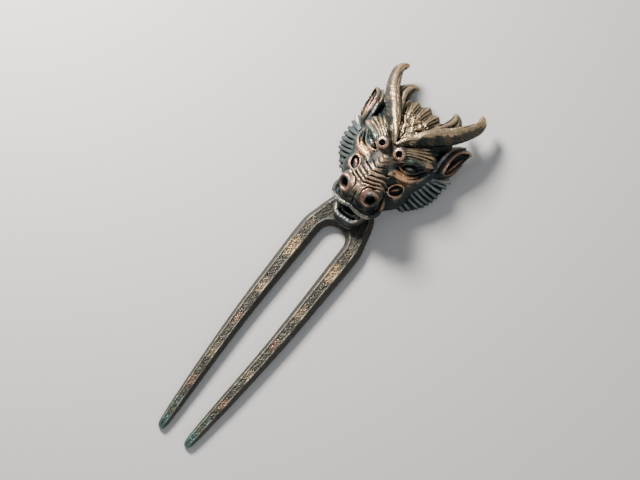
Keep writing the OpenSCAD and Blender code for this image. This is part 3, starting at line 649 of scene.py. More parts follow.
snout = {
    # chevron wrinkles from the eyes to the nose: half of each, from the middle outwards
    "wrinkles": [
        [[0, 108.9, 0.9, -0.3], [1.1, 109.5, 1, -0.45], [2.1, 110.4, 0.9, -0.35], [2.9, 111.4, 0.6, -0.15]],
        [[0, 106.8, 1, -0.6], [1.2, 107.3, 1.15, -0.75], [2.5, 107.9, 1.1, -0.75], [3.9, 108.9, 0.9, -0.6],
         [4.9, 109.9, 0.6, -0.25]],
        [[0, 104.3, 1, -0.6], [0.9, 105.1, 1.2, -0.8], [2.1, 105.5, 1.15, -0.8], [3.6, 106.4, 1.1, -0.75],
         [4.9, 107.6, 1, -0.6], [6.1, 108.4, 0.7, -0.3]],
        [[0, 102.7, 0.9, -0.6], [0.8, 103.3, 1.1, -0.75], [1.9, 103.6, 1.1, -0.75],
         [3.7, 104.5, 1.05, -0.7], [5.1, 105.7, 0.95, -0.6], [6.3, 106.8, 0.7, -0.3]],
        [[0, 101.3, 0.8, -0.4], [1, 101.9, 1, -0.6], [2.4, 102.3, 1, -0.65], [4, 103.2, 0.95, -0.6],
         [5.3, 104.1, 0.9, -0.5], [6.6, 105.2, 0.7, -0.3]],
        [[3.2, 101.6, 0.4, -0.2], [4.6, 102.3, 0.5, -0.35], [6, 103.2, 0.5, -0.3]],
        [[0, 111.3, 0.7, -0.2], [0.9, 111.9, 0.8, -0.28], [1.9, 113, 0.6, -0.12]],
        [[0, 113.3, 0.6, -0.14], [0.8, 113.9, 0.7, -0.2], [1.5, 114.7, 0.5, -0.1]],
    ],
    # the roll of skin beside a wrinkle: how far back, width, height
    "roll": [0.8, 1.3, 0.5],
    "fullDepth": 0.6,
    "bridge": [[0, 108.6, 14.8, 6.4, 3.2], [0, 112, 14.6, 8.2, 3.4], [0, 115.6, 14.3, 8.4, 3.6],
               [0, 118.8, 14, 5, 3.2]],
    "nostrilAt": [4.9, 98.7, 17.7], "nostrilAxis": [0.42, -0.6, 0.68], "nostrilSize": [2.5, 2.1],
    "nostrilAhead": [0.6, 0.8, 0], "nostrilTube": 0.82, "nostrilLift": 0.1, "nostrilSink": 0.2,
    "nostrilHole": 1.45, "nostrilDepth": 2.3,
    "wing": [[2.4, 104.4, 18.8, 1.6, 2], [4.2, 103.2, 18.4, 2.8, 2.8], [6, 101.9, 16.9, 3.2, 3.6],
             [6, 100.2, 15.6, 3, 3.8], [5.5, 98.8, 14.9, 2.6, 3.4]],
    # grooves round the nostrils: reach from the nostril, first and last angle, width, depth
    "crescents": [[3.35, 200, 95, 0.75, -0.85], [4.1, 170, 125, 0.45, -0.35]],
    "crescentEnds": 0.35,
    "philtrum": [[0, 97.6, 1, -0.3], [0, 96, 1.2, -0.5]],
    # the heights that the strokes start above
    "floor": 10,
    "crescentFloor": 12,
}


def sculptSnout(wax):
    at, axis, floor = np.array(snout["nostrilAt"]), unit(snout["nostrilAxis"]), snout["floor"]
    wax.sweep(snout["wing"], soft=0.7)
    rim, hole = at + snout["nostrilLift"] * axis, at - snout["nostrilSink"] * axis
    wax.ring(rim, axis, snout["nostrilSize"], snout["nostrilTube"], snout["nostrilAhead"], soft=0.45)
    wax.drill(hole, axis, snout["nostrilHole"], snout["nostrilDepth"], soft=0.3)
    wax.sweep(snout["bridge"], soft=1.8)
    back, width, height = snout["roll"]
    for rows in snout["wrinkles"]:
        wax.stroke(rows, floor)
        # the skin rolls over each wrinkle from the side of the nose, less where the wrinkle is shallow
        shares = [min(1, -depth / snout["fullDepth"]) for x, y, wide, depth in rows]
        rolled = [[row[0], row[1] - back, width, height * share] for row, share in zip(rows, shares)]
        wax.stroke(rolled, floor)
    wax.stroke(snout["philtrum"], floor)
    ends = snout["crescentEnds"]
    sizes = np.sin(np.linspace(ends, math.pi - ends, 5))
    for reach, first, last, width, depth in snout["crescents"]:
        angles = np.radians(np.linspace(first, last, 5))
        wax.stroke([[at[0] + reach * math.cos(a), at[1] + reach * math.sin(a), width * k, depth * k]
                    for a, k in zip(angles, sizes)], snout["crescentFloor"])


mouth = {
    "lip": [[0, 94.8, 12.4, 1.5, 1.6], [2.4, 94.5, 12, 1.9, 1.7], [4.6, 94.6, 11.5, 2.4, 1.9],
            [6.6, 95.4, 11.1, 2.4, 1.9], [8, 97, 10.8, 2.2, 1.9], [8.5, 99.3, 10.4, 1.8, 2],
            [7.9, 102.2, 9.8, 1.5, 2], [6.8, 104.4, 9.2, 0.9, 1.4]],
    # creases along the lip: angle, width, share of the depth
    "creases": [[1, 0.16, 1], [1.9, 0.14, 0.7]],
    "creaseDepth": 0.16, "puckers": [2, 75], "puckerDepth": 0.04,
    "lipFold": [[0, 96.2, 0.7, -0.3], [2.4, 95.9, 0.8, -0.4], [4.4, 96, 0.6, -0.2]],
    "lipLine": [[1, 94.9, 0.6, -0.2], [4.6, 95.1, 0.7, -0.3], [6.6, 96, 0.6, -0.2]],
    "lipFloor": 10,
    "jaw": [[0, 91, 6.9, 2.2, 4.1], [2.2, 91.1, 6.9, 2.2, 4.1], [3.7, 91.9, 6.8, 2.2, 4.1],
            [4.6, 93.5, 6.8, 2.2, 4.2], [5.2, 96, 7, 2.3, 4.2], [5.9, 99.4, 7.2, 2.4, 4.4],
            [6.4, 103, 6.6, 2.6, 4.4]],
    "gum": [[0, 92.9, 8, 0.7, 2.2], [1.6, 93, 8, 0.7, 2.2], [2.9, 93.6, 8, 0.7, 2.2],
            [3.5, 95, 8, 0.7, 2.2], [4, 97.4, 8, 0.8, 2.2]],
    "gumGroove": [[0, 92.2, 0.6, -0.6], [2, 92.25, 0.6, -0.6], [3.1, 92.8, 0.5, -0.3]],
    "jawLine": [[0, 90.9, 0.5, -0.2], [2.2, 91, 0.5, -0.25], [3.6, 91.7, 0.5, -0.2]],
    "throat": [
        [0, 90.4, 4.9, 7.4, 2.4], [0, 92.4, 4.9, 8.6, 2.6], [0, 96, 5, 10.2, 2.8], [0, 102.6, 5, 13, 3],
    ],
}


def lipCreases(along, turn):  # two soft creases along the lip, and slight puckers across it
    creases = sum(share * hump(turn, middle, width) for middle, width, share in mouth["creases"])
    puckers = swell(ripple(along, turn, *mouth["puckers"])) ** 2
    return -mouth["creaseDepth"] * creases - mouth["puckerDepth"] * puckers


def sculptMouth(wax):
    wax.sweep(mouth["throat"], soft=0.4)
    wax.sweep(mouth["lip"], soft=0.75, pattern=lipCreases)
    wax.stroke(mouth["lipFold"], mouth["lipFloor"])
    wax.stroke(mouth["lipLine"], mouth["lipFloor"])
    wax.sweep(mouth["jaw"], soft=0.4)
    wax.sweep(mouth["gum"], soft=0.12)
    wax.stroke(mouth["gumGroove"])
    wax.stroke(mouth["jawLine"])


ear = {
    "soft": {"body": 0.5, "back": 0.4, "hollow": 0.25, "rim": 0.3, "inner": 0.25, "lobe": 0.3},
    "body": [[15.4, 123.4, 4.2, 2.8, 4.2], [16.2, 126.4, 5.4, 5.4, 6.8], [16.7, 129.6, 5.8, 6, 7.6],
             [17.5, 132.8, 5.2, 5, 6], [18.9, 135, 4.5, 2.8, 3.6], [20, 135.9, 3.9, 0.9, 1.2]],
    "hollow": [[17.6, 124.8, 6.6, 1.2, 2.6], [18.2, 127.2, 7.2, 3.2, 5.4], [18.5, 130, 7.6, 3.5, 6.4],
               [18.9, 132.6, 6.8, 2.7, 4.6], [19.6, 134.7, 5.4, 1, 2]],
    "rim": [[15.8, 124, 6.6, 0.9, 1.3], [15.9, 126.2, 8.3, 1.1, 1.4], [15.9, 129.4, 8.9, 1.2, 1.5],
            [16.7, 132.4, 8, 1.1, 1.4], [18.4, 134.8, 6.4, 0.9, 1.1], [20, 135.9, 4.6, 0.5, 0.6]],
    "back": [[14.2, 123, 7.6, 0.9, 1.6], [14.4, 126.4, 9, 1.4, 2.6], [14.4, 129.8, 9.2, 1.6, 3],
             [15.3, 133.2, 7.8, 1.5, 2.8], [17.4, 136.2, 5.8, 0.8, 1.2]],
    "inner": [[17.3, 125.4, 5, 0.8, 1.8], [17.9, 128.2, 4.6, 1.2, 2.6], [18.5, 131.2, 4.4, 1.1, 2.2],
              [19.1, 133.6, 4.2, 0.5, 1]],
    "lobe": [[16.9, 124.3, 4, 1.6, 2.4], [18.2, 125.8, 4, 1.7, 2.4], [18.9, 128.2, 3.8, 1.4, 2],
             [19.3, 131.2, 3.6, 1, 1.4]],
    # the plaited cord at the ear's root: places of its knots, and their size
    "cord": [[14.3, 122.6], [14.2, 124.4], [14.3, 126.3], [14.4, 128.2], [14.6, 130]],
    "knots": 12, "knotSize": [0.95, 0.42, 0.5], "knotAhead": [1, 0.9, 0],
}


def sculptEar(wax):
    for part, soft in ear["soft"].items():
        wax.sweep(ear[part], soft, cut=part == "hollow")
    line = smoothRows(ear["cord"], 8)
    places = [line[i] for i in np.linspace(0, len(line) - 2, ear["knots"]).astype(int)]
    for x, y, z in [(x, y, wax.height(x, y)) for x, y in places]:
        wax.lump([x, y, z], ear["knotSize"], ear["knotAhead"], soft=0.15)


def castFace():
    wax = Wax(*face["room"], face["grid"])
    wax.dome(face["skull"], soft=1.0)
    wax.dome(face["muzzle"], soft=1.6)
    sculptBrow(wax)
    wax.dome(face["hollow"], soft=0.5, cut=True)
    wax.lump(eye["socketAt"], eye["socketSize"], eye["ahead"], soft=0.6, cut=True)
    sculptCheek(wax)
    sculptEye(wax)
    sculptSnout(wax)
    drillBoss(wax)
    sculptMouth(wax)
    wax.sweep(face["frillWeb"], soft=0.5)
    sculptEar(wax)
    wax.roughen(*face["rough"])
    for low, high in face["cuts"]:
        wax.block(low, high)
    return wax.cast("dragon_face", face["detail"], maskBronze)


print("casting the face")
facePiece = castFace()


# The crown: two horns with a tine each, and a crest of feathered leaves and curls between them
leafForm = {
    # half widths along the leaf
    "along": [0, 0.3, 0.72, 0.88, 1],
    "half": [0.5, 0.82, 1, 0.96, 0.5], "veins": 2.2, "veinDepth": 0.36, "slant": 0.9, "slope": 0.85,
    "keel": 1.15, "bend": 1.3, "thick": 1.6, "soft": 0.2,
}

crown = {
    "grid": 0.18, "detail": 0.12, "room": ([0, 117, 0.6], [22.4, 150.6, 22.6]),
    "horn": [
        [0.5, 119.3, 15.4, 2.2, 3.2], [2.2, 122.2, 16, 3.6, 4.6], [5.6, 126.6, 15, 4.8, 5.4],
        [9.4, 130.9, 13.2, 5.2, 5.6], [12.8, 135.2, 11, 5, 5.4], [15.3, 139.6, 9.2, 4.6, 4.8],
        [16.9, 143.4, 7.9, 4, 4.2], [17, 146, 7.3, 3.2, 3.4], [16.2, 147.6, 7.1, 2.2, 2.4],
        [15.6, 148.2, 7, 1.2, 1.4],
    ],
    "keel": [[0.4, 119.9, 17.3, 1.2, 1.5], [2, 122.6, 18.1, 1.7, 1.9], [3.8, 124.9, 17.8, 1.4, 1.7]],
    "ridge": [
        [2.4, 122.9, 17.2, 1.6, 2], [4.5, 125.8, 17.2, 3, 2.9], [6.8, 128.8, 16.8, 3.7, 3.3],
        [9.4, 132, 15.5, 3.9, 3.5], [12.1, 135.2, 13.8, 3.9, 3.4], [14.3, 138.7, 11.9, 3.6, 3.1],
        [16, 142.3, 10, 3.1, 2.7], [16.6, 144.9, 8.9, 2.4, 2.2], [16.4, 146.9, 8.1, 1.5, 1.5],
        [15.8, 147.9, 7.5, 0.8, 0.9],
    ],
    "strand": [[5.3, 129.6, 16, 0.9, 1.2], [7.2, 132.8, 14.4, 1.7, 1.9], [8.6, 135.6, 12.7, 2.2, 2.4],
               [9.5, 138.2, 11.2, 2.3, 2.4], [9.5, 140.5, 9.9, 2, 2.1], [8.8, 142.3, 8.5, 1.4, 1.5],
               [7.9, 143.2, 7.7, 0.8, 0.9]],
    "tine": [[10.6, 135.2, 10.6, 8, 4], [10.3, 138, 9.8, 6.6, 3.6], [9.9, 140.4, 8.8, 4.8, 3],
             [9, 142.3, 8, 3, 2.4], [7.9, 143.3, 7.4, 1.4, 1.4]],
    # grooves along the horn's face, the tine and the tip: x, y, width, height
    "grooves": [
        [[4.6, 126.9, 0.5, -0.12], [6.9, 129.9, 0.6, -0.16], [9.5, 133.1, 0.6, -0.16],
         [12.4, 137, 0.5, -0.12]],
        [[10.6, 137, 0.6, -0.2], [10.9, 139.2, 0.7, -0.3], [10.4, 141, 0.5, -0.2]],
        [[7.6, 135, 0.5, -0.2], [8.3, 138.2, 0.7, -0.3], [8.3, 140.8, 0.6, -0.3], [8, 142.2, 0.4, -0.2]],
        [[12.9, 137.6, 0.5, -0.15], [14.4, 140.6, 0.6, -0.25], [15.4, 143.8, 0.6, -0.25],
         [15.5, 146.4, 0.5, -0.15]],
    ],
    "crest": [[0, 120.8, 16, 1.8, 2], [0, 123.5, 15.6, 5, 2.6], [0, 127, 14.8, 9.4, 3.2],
              [0, 130.5, 13.3, 12.8, 3.4], [0, 133.5, 11.5, 13.6, 3.4], [0, 136, 10, 11, 2.6]],
    # base x, y, z, tip x, y, z, width
    "leaves": [[6, 130.2, 12.6, 6.9, 136.6, 10.4, 2.8], [2.4, 128, 14, 4.3, 138, 10.2, 4.3],
               [0, 127.6, 14.9, 0, 139, 9.4, 4.5]],
    # x, y, radius, start in degrees, turns, then where its stem comes from
    "curls": [[1.3, 124.4, 1.15, 20, 0.62, 0.5, 121], [3.1, 126.9, 1.2, 30, 0.62, 2, 122.9],
              [1.2, 127.8, 1.2, 165, -0.62, 0.3, 124.4], [4.8, 129.5, 1.15, 25, 0.62, 3.9, 126],
              [2.9, 130.4, 1.15, 150, -0.62, 1.9, 127.8], [1.05, 131.4, 1.05, 20, 0.62, 0.2, 128.2]],
    # barbs between the curls: x, y of both ends, and the rows of one barb
    "barbs": [
        [1.9, 122.9, 2.6, 123.9], [3.2, 124.9, 4, 125.7], [4.6, 127.1, 5.3, 128.1],
        [5.9, 129.1, 6.2, 130.6], [0.5, 123.4, 0.3, 124.4], [1.9, 125.8, 1.5, 126.7],
        [3.3, 128.6, 2.9, 129.5], [4.6, 131.3, 4.3, 132.4], [2.2, 132, 2, 133.2], [3.6, 131.6, 3.5, 132.9],
        [5.5, 131.2, 5.7, 132.6],
    ],
    "barb": [[0, 0.45, 0.5], [0.1, 0.6, 0.6], [0, 0.25, 0.3]],
    "floor": 4, "rough": (0.013, 5),
}

curl = {
    # the stem's rows: lift, width, height
    "stem": [[0, 0.4, 0.7], [0.1, 1, 1.2], [0.1, 1.3, 1.3]],
    # how far round, in half turns, the stem meets the curl
    "wind": 1.2,
    "bow": 0.12, "tall": 0.78, "groove": 0.54, "depth": -0.5, "closing": 0.75, "shallowing": 0.2,
    "floor": 8,
}


def curlForm(wax, row):  # a snail curl at the end of a stem that tapers back to its root
    x, y, radius, start, turns, fromX, fromY = row
    way = math.copysign(1, turns)
    top = wax.height(x, y)
    slope = (wax.height(x, y + radius) - wax.height(x, y - radius)) / (2 * radius)
    tilt = (wax.height(x + radius, y) - top) / radius
    edge = math.radians(start)
    root = edge + math.pi * (curl["wind"] * way)
    end = np.array([x + 0.5 * radius * math.cos(root), y + 0.5 * radius * math.sin(root)])
    stem = end - [fromX, fromY]
    middle = end - stem / 2 + np.array([-stem[1], stem[0]]) * curl["bow"] * way
    wax.lay([[*place, *size] for place, size in zip(([fromX, fromY], middle, end), curl["stem"])])
    wax.lump([x, y, top], [radius, radius, curl["tall"]], (1, 0, tilt), (-tilt, -slope, 1), soft=0.25)
    rows = []
    for share in np.linspace(0, 1, 11):
        angle = edge + 2 * math.pi * turns * share
        reach = radius * (1 - curl["closing"] * share)
        depth = curl["depth"] * (1 - curl["shallowing"] * share)
        rows.append([x + reach * math.cos(angle), y + reach * math.sin(angle), curl["groove"], depth])
    wax.stroke(rows, curl["floor"], 2)


horn = {
    # waves over the horn: waves round, waves along, sway, sways
    "long": [17, 0, 2.4, 11],
    "fine": [29, -26], "barbs": [10, 170, 1.6, 37], "flank": [9, 0, 3, 17], "lines": [11, 0, 3, 23],
    "wrinkles": [2, 130, 1.5, 41],
    "depths": {"long": 0.06, "fine": 0.05, "barbs": 0.26, "flank": 0.05},
    "lineDepth": 0.05, "breaks": [0.6, 0.4, 90], "topStart": 0.9,
    # where the barbs run: angle, width, and from where to where along the horn
    "barbRow": [0.5, 0.32],
    "barbRun": [0.06, 0.75], "wrinkleDepths": [0.03, 0.13], "tineLeaves": [0.42, 0.1],
}


def hornGrain(along, turn):  # long grain on the top, and a row of slanted barbs high on the outer flank
    waves = {key: ripple(along, turn, *horn[key]) for key in ("long", "fine", "barbs", "flank")}
    depth = horn["depths"]
    top = swell((turn - horn["topStart"]) * 3, np.tanh)
    grain = depth["long"] * np.sin(waves["long"]) + depth["fine"] * np.sin(waves["fine"])
    first, last = horn["barbRun"]
    row = hump(turn, *horn["barbRow"]) * np.clip((along - first) * 20, 0, 1)
    row = row * np.clip((last - along) * 5, 0, 1)
    barbs = -depth["barbs"] * swell(waves["barbs"]) ** 2
    flank = depth["flank"] * np.sin(waves["flank"]) * (1 - top)
    return grain * top + barbs * row + flank


def ridgeGrain(along, turn):  # fine broken lines, and wrinkles where the tine leaves
    level, change, count = horn["breaks"]
    broken = level + change * np.sin(along * count)
    lines = horn["lineDepth"] * np.sin(ripple(along, turn, *horn["lines"])) * broken
    wrinkles = swell(ripple(along, turn, *horn["wrinkles"])) ** 2
    least, more = horn["wrinkleDepths"]
    return lines - wrinkles * (least + more * hump(along, *horn["tineLeaves"]))


def castCrown():
    wax = Wax(*crown["room"], crown["grid"])
    wax.sweep(crown["crest"], soft=0.4)
    for row in crown["leaves"]:
        wax.leaf(row[:3], row[3:6], row[6], leafForm)
    for x1, y1, x2, y2 in crown["barbs"]:
        places = [x1, y1], [(x1 + x2) / 2, (y1 + y2) / 2], [x2, y2]
        wax.lay([[*place, *size] for place, size in zip(places, crown["barb"])], soft=0.1)
    for row in crown["curls"]:
        curlForm(wax, row)
    wax.sweep(crown["tine"], soft=0.5)
    wax.sweep(crown["horn"], soft=0.3, pattern=hornGrain)
    wax.sweep(crown["keel"], soft=0.3)
    wax.sweep(crown["ridge"], soft=0.25, pattern=ridgeGrain)
    wax.sweep(crown["strand"], soft=0.25, pattern=ridgeGrain)
    for rows in crown["grooves"]:
        wax.stroke(rows, crown["floor"])
    wax.roughen(*crown["rough"])
    return wax.cast("horns_and_crest", crown["detail"], crownBronze)


print("casting the crown")
crownPiece = castCrown()


# The fork: two tapering prongs joined by an arch, bevelled all round, with a sunk band along the top
fork = {
    "grid": 0.18, "detail": 0.1, "room": ([0, -1.9, -0.7], [12.7, 107.9, 5.2]),
    # y, middle x, half width, thickness
    "prong": [[-1.04, 5.31, 0.48, 1.2], [-0.5, 5.34, 1.1, 1.89], [1.2, 5.44, 1.59, 2.49],
              [6, 5.73, 1.9, 2.84], [12, 6.1, 2.07, 3.1], [19.5, 6.6, 2.28, 3.44], [34, 7.43, 2.55, 3.78],
              [49, 8.01, 2.86, 3.96], [67, 8.22, 3.21, 4.21], [78, 8.3, 3.45, 4.3], [83, 8.3, 3.45, 4.3]],
    "arch": [[4.85, 83], [4.6, 85.4], [3.7, 87.1], [2.1, 88.3], [0, 88.9]],
    "neck": [[11.75, 83], [11.6, 85.4], [11.25, 87.1], [10.75, 88.9], [10.2, 91], [9.5, 93.8], [8.4, 96.9],
             [6.6, 99.6], [4.6, 101.3]],
    "tang": [[4.6, 101.3], [4.6, 107], [0, 107]],
    # y, width of the bevel
    "bevel": [[83, 1.73], [96.9, 1.7], [99.6, 1.1], [101.3, 0.4], [107, 0.4]],
    "bevelShare": 0.5, "shoulderShare": 0.6, "footShare": 0.32, "footBevel": 0.45, "border": 0.15,
    "sunk": 0.22, "sunkEnd": 100, "sunkFade": 2, "borderSoft": 0.2, "topSoft": 0.35, "footSoft": 0.25,
    "bodySoft": 0.2, "edgeSoft": 0.4, "steepest": 3, "rough": (0.012, 7),
    "cut": ([-30, -9, -9], [30, 150, 0]),
}


def castFork():
    wax = Wax(*fork["room"], fork["grid"])
    x, y, z = wax.lines[0][:, None], wax.lines[1][None, :], wax.lines[2][None, None, :]
    prong = smoothRows(fork["prong"], 4)
    arch, neck = smoothRows(fork["arch"], 10), smoothRows(fork["neck"], 10)
    inner, outer = (np.column_stack([prong[:, 1] + side * prong[:, 2], prong[:, 0]]) for side in (-1, 1))
    inner, outer = np.vstack([inner, arch[1:]]), np.vstack([outer, neck[1:], fork["tang"][1:]])
    chain = np.vstack([inner[::-1], outer])
    away = np.full((x.size, y.size), 99, np.float32)
    for a, b in zip(chain[:-1], chain[1:]):
        away = np.minimum(away, fromLine(x, y, a, b)[1])
    low = np.interp(y, inner[:, 1], inner[:, 0], right=-1)
    high = np.interp(y, outer[:-1, 1], outer[:-1, 0])
    within = (x > low) & (x < high) & (y > chain[:, 1].min()) & (y < chain[:, 1].max())
    depth = np.where(within, away, -away)
    thick = np.interp(y, prong[:, 0], prong[:, 3])
    bevel = np.where(y < fork["bevel"][0][0], np.interp(y, prong[:, 0], prong[:, 2]) * fork["bevelShare"],
                     np.interp(y, *np.array(fork["bevel"]).T))
    shoulder, foot = fork["shoulderShare"], fork["footShare"]
    top = joined(thick + 0 * depth, thick * (shoulder + (1 - shoulder) * depth / bevel), fork["topSoft"])
    sunken = np.clip((depth - bevel - fork["border"]) / fork["borderSoft"], 0, 1)
    sunken = sunken * np.clip((fork["sunkEnd"] - y) / fork["sunkFade"], 0, 1)
    top -= fork["sunk"] * sunken * sunken * (3 - 2 * sunken)
    lower = -thick * foot * (1 - depth / (fork["footBevel"] * bevel))
    under = -joined(0 * depth, lower, fork["footSoft"])
    slopes = np.gradient(top, wax.step)
    steep = np.sqrt(1 + slopes[0] ** 2 + slopes[1] ** 2).clip(1, fork["steepest"])
    body = shared((z - top[:, :, None]) / steep[:, :, None], under[:, :, None] - z, fork["bodySoft"])
    wax.field[:] = shared(body, -(depth[:, :, None] + 0 * z), fork["edgeSoft"]).astype(np.float32)
    wax.roughen(*fork["rough"])
    wax.block(*fork["cut"])
    return wax.cast("fork_body", fork["detail"], forkBronze), prong


print("casting the fork")
forkPiece, prongPath = castFork()


# The ribs, teeth, scrollwork and chased strokes are grown by Geometry Nodes, whose own sizes are in metres
rodInputs = ("steps", "sides", "length", "thickness", "bend")


def growth(name, mesh, build, table, keys, material, smooth=True):  # grown, then turned to a plain mesh
    values = {**{key: table[key] for key in keys}, "material": material}
    tree = bpy.data.node_groups.new(name, "GeometryNodeTree")
    panel = tree.interface
    panel.new_socket("Geometry", in_out="INPUT", socket_type="NodeSocketGeometry")
    for label, value in values.items():
        kind = {int: "NodeSocketInt", float: "NodeSocketFloat"}.get(type(value), "NodeSocketMaterial")
        panel.new_socket(label, in_out="INPUT", socket_type=kind)
    panel.new_socket("Geometry", in_out="OUTPUT", socket_type="NodeSocketGeometry")
    entry = tree.nodes.new("NodeGroupInput")
    given = {socket.name: Wire(tree, socket) for socket in entry.outputs if socket.name}
    grown = build(given).then("RealizeInstances").then("SetMaterial", {"Material": given["material"]})
    tree.links.new(grown.socket, tree.nodes.new("NodeGroupOutput").inputs[0])
    source = setOut(name + "_source", mesh)
    modifier = source.modifiers.new(name, "NODES")
    modifier.node_group = tree
    for socket in panel.items_tree:
        if socket.in_out == "INPUT" and socket.name in values:
            modifier[socket.identifier] = values[socket.name]
    source.data.update()
    bpy.context.view_layer.update()
    graph = bpy.context.evaluated_depsgraph_get()
    plain = bpy.data.meshes.new_from_object(source.evaluated_get(graph), depsgraph=graph)
    plain.name = name
    source.modifiers.remove(modifier)
    bpy.data.objects.remove(source)
    plain.polygons.foreach_set("use_smooth", np.full(len(plain.polygons), smooth))
    print(name, sum(len(f.vertices) - 2 for f in plain.polygons), "triangles")
    return setOut(name, plain)


def pointMesh(name, points, edges=(), **attributes):  # points in the tables' millimetres
    mesh = bpy.data.meshes.new(name)
    mesh.from_pydata([(x / 1000, (y + yShift) / 1000, z / 1000) for x, y, z in points], edges, [])
    for label, values in attributes.items():
        values = np.array(values, float)
        kind, field = ("FLOAT_VECTOR", "vector") if values.ndim == 2 else ("FLOAT", "value")
        stamp(mesh, label, values.ravel(), kind, field)
    return mesh


def stored(given, label, kind="FLOAT"):
    return given["Geometry"].node("GeometryNodeInputNamedAttribute", {"data_type": kind}, {"Name": label})


def aimed(along, up):  # a turn that takes X along one vector and Z towards the other
    turn = along.node("FunctionNodeAlignRotationToVector", {"axis": "X"}, {"Vector": along})
    return turn.node("FunctionNodeAlignRotationToVector", {"axis": "Z", "pivot_axis": "X"},
                     {"Rotation": turn, "Vector": up})


def tube(given, line, radius):  # radius is a function of the share along the line
    line = line.then("SetCurveRadius", {"Radius": radius(line.node("GeometryNodeSplineParameter"))})
    ring = line.node("GeometryNodeCurvePrimitiveCircle", inputs={
        "Resolution": given["sides"], "Radius": given["thickness"] / 2})
    return line.then("CurveToMesh", {"Profile Curve": ring, "Fill Caps": True})


def rod(given, radius):  # a bowed bar along X
    end = given["length"].vector(x=given["length"])
    line = end.node("GeometryNodeCurvePrimitiveLine", inputs={"End": end})
    line = line.then("ResampleCurve", {"Count": given["steps"]})
    share = line.node("GeometryNodeSplineParameter")
    rise = share * (1 - share) * 4 * given["bend"]
    return tube(given, line.then("SetPosition", {"Offset": rise.vector(z=rise)}), radius)


def castRods(name, table, rods, radius, smooth=True):  # both sides; rods: root, aim, size
    def build(given):
        aim, size = (stored(given, label, "FLOAT_VECTOR") for label in ("aim", "size"))
        return given["Geometry"].then("InstanceOnPoints", {
            "Instance": rod(given, radius), "Rotation": aimed(aim, table["up"]), "Scale": size})

    both = [(np.array([side, 1, 1]), *row) for row in rods for side in (1, -1)]
    mesh = pointMesh(name + "_roots", [root * mirror for mirror, root, aim, size in both],
                     aim=[aim * mirror for mirror, root, aim, size in both], size=[row[3] for row in both])
    return growth(name, mesh, build, table, rodInputs, ribBronze, smooth)


# The frill round the cheeks: ten ribs a side that end in fins. Inner x, y, outer x, y, width
frillRibs = {
    "rows": [
        [9.6, 107.6, 13.5, 106.9, 0.85], [10.6, 109.2, 14.8, 108.5, 0.9], [11.8, 110.7, 16.6, 110.7, 0.95],
        [12.9, 112.2, 17.8, 112.4, 1], [13.9, 113.7, 18.5, 114, 1], [14.6, 115.3, 19, 115.7, 1],
        [15, 117, 19.4, 117.6, 1.05], [15.2, 118.8, 19.4, 119.8, 1.1], [15.2, 120.4, 19.6, 122.4, 1.3],
        [14.8, 121.4, 19, 125.2, 3.2],
    ],
    "inset": 1.3,  # how far the ribs run on into the cheek
    "unitSize": (5, 1.5),  # the length and width, in millimetres, of a rib at scale 1
    "innerLevel": 5.7, "outerLevel": 1.5, "tall": 0.9, "up": (0, 0.45, 1),
    "steps": 9, "sides": 6, "length": 0.005, "thickness": 0.0017, "bend": -0.0004,
}


def castRibs():
    rods = []
    unitLength, unitWidth = frillRibs["unitSize"]
    for x1, y1, x2, y2, width in frillRibs["rows"]:
        inset = frillRibs["inset"] * unit([x1 - x2, y1 - y2])
        root = np.array([x1 + inset[0], y1 + inset[1], frillRibs["innerLevel"]])
        aim = np.array([x2, y2, frillRibs["outerLevel"]]) - root
        reach = np.linalg.norm(aim)
        rods.append([root, aim / reach, [reach / unitLength, width / unitWidth, frillRibs["tall"]]])
    return castRods("frill_ribs", frillRibs, rods,
                    lambda share: (0.6 + 0.4 * share) * (1 - share ** 9) ** 0.5 + 0.08, False)


# The teeth along the jaw: x, y, z of the root, lean, length and width
teeth = {
    "rows": [
        [0.9, 92.8, 8.7, 0.1, 0.7, 0.65], [1.9, 92.9, 8.7, -0.1, 0.9, 0.65],
        [2.8, 93.2, 8.7, -0.2, 1.1, 0.7], [3.6, 93.2, 8.3, 0, 2, 1.1],
    ],
    "forward": 0.35,  # how far they point away from the jaw
    "unitSize": (1.7, 0.9), "up": (0, -1, 0),
    "steps": 5, "sides": 7, "length": 0.0017, "thickness": 0.0009, "bend": -0.0001,
}


def castTeeth():
    unitLength, unitWidth = teeth["unitSize"]
    rods = [[np.array([x, y, z]), unit([lean, teeth["forward"], 1]),
             [length / unitLength, width / unitWidth, width / unitWidth]]
            for x, y, z, lean, length, width in teeth["rows"]]
    return castRods("teeth", teeth, rods, lambda share: 1.06 - share)


# The scrollwork in the sunk band of each prong: long hooks, turned over one after the other
scroll = {
    "lines": [[[5.35, 2.2], *([x, y] for y, x, half, thick in fork["prong"][3:]), [8.1, 86]]],
    "steps": 9, "sides": 5, "spacing": 0.00135, "length": 0.0017, "curl": 0.00068, "eye": 0.0001,
    "turns": 1.2, "thickness": 0.00052, "flat": 0.7, "seed": 4,
}

# Short chased strokes, scattered between the scrolls and over the neck
chasing = {
    "lines": scroll["lines"] + [
        [[8.1, 86], [7.6, 88.6], [6.9, 91.2], [6.2, 93.4]], [[9, 87.4], [8.5, 90], [7.9, 92.4], [7.2, 94.6]],
        [[7, 87.4], [6.2, 89.4], [5.6, 91.4]],
    ],
    "steps": 4, "sides": 4, "spacing": 0.00045, "length": 0.0016, "thickness": 0.00036, "bend": 0.00016,
    "spread": 0.85, "lean": 0.3, "seed": 9,
}

# How far the lines lie below the band's floor and reach beyond its edge. Over the neck they scatter less
band = {"sink": 0.04, "spare": 0.05, "neckStart": 86, "neckShare": 0.3}


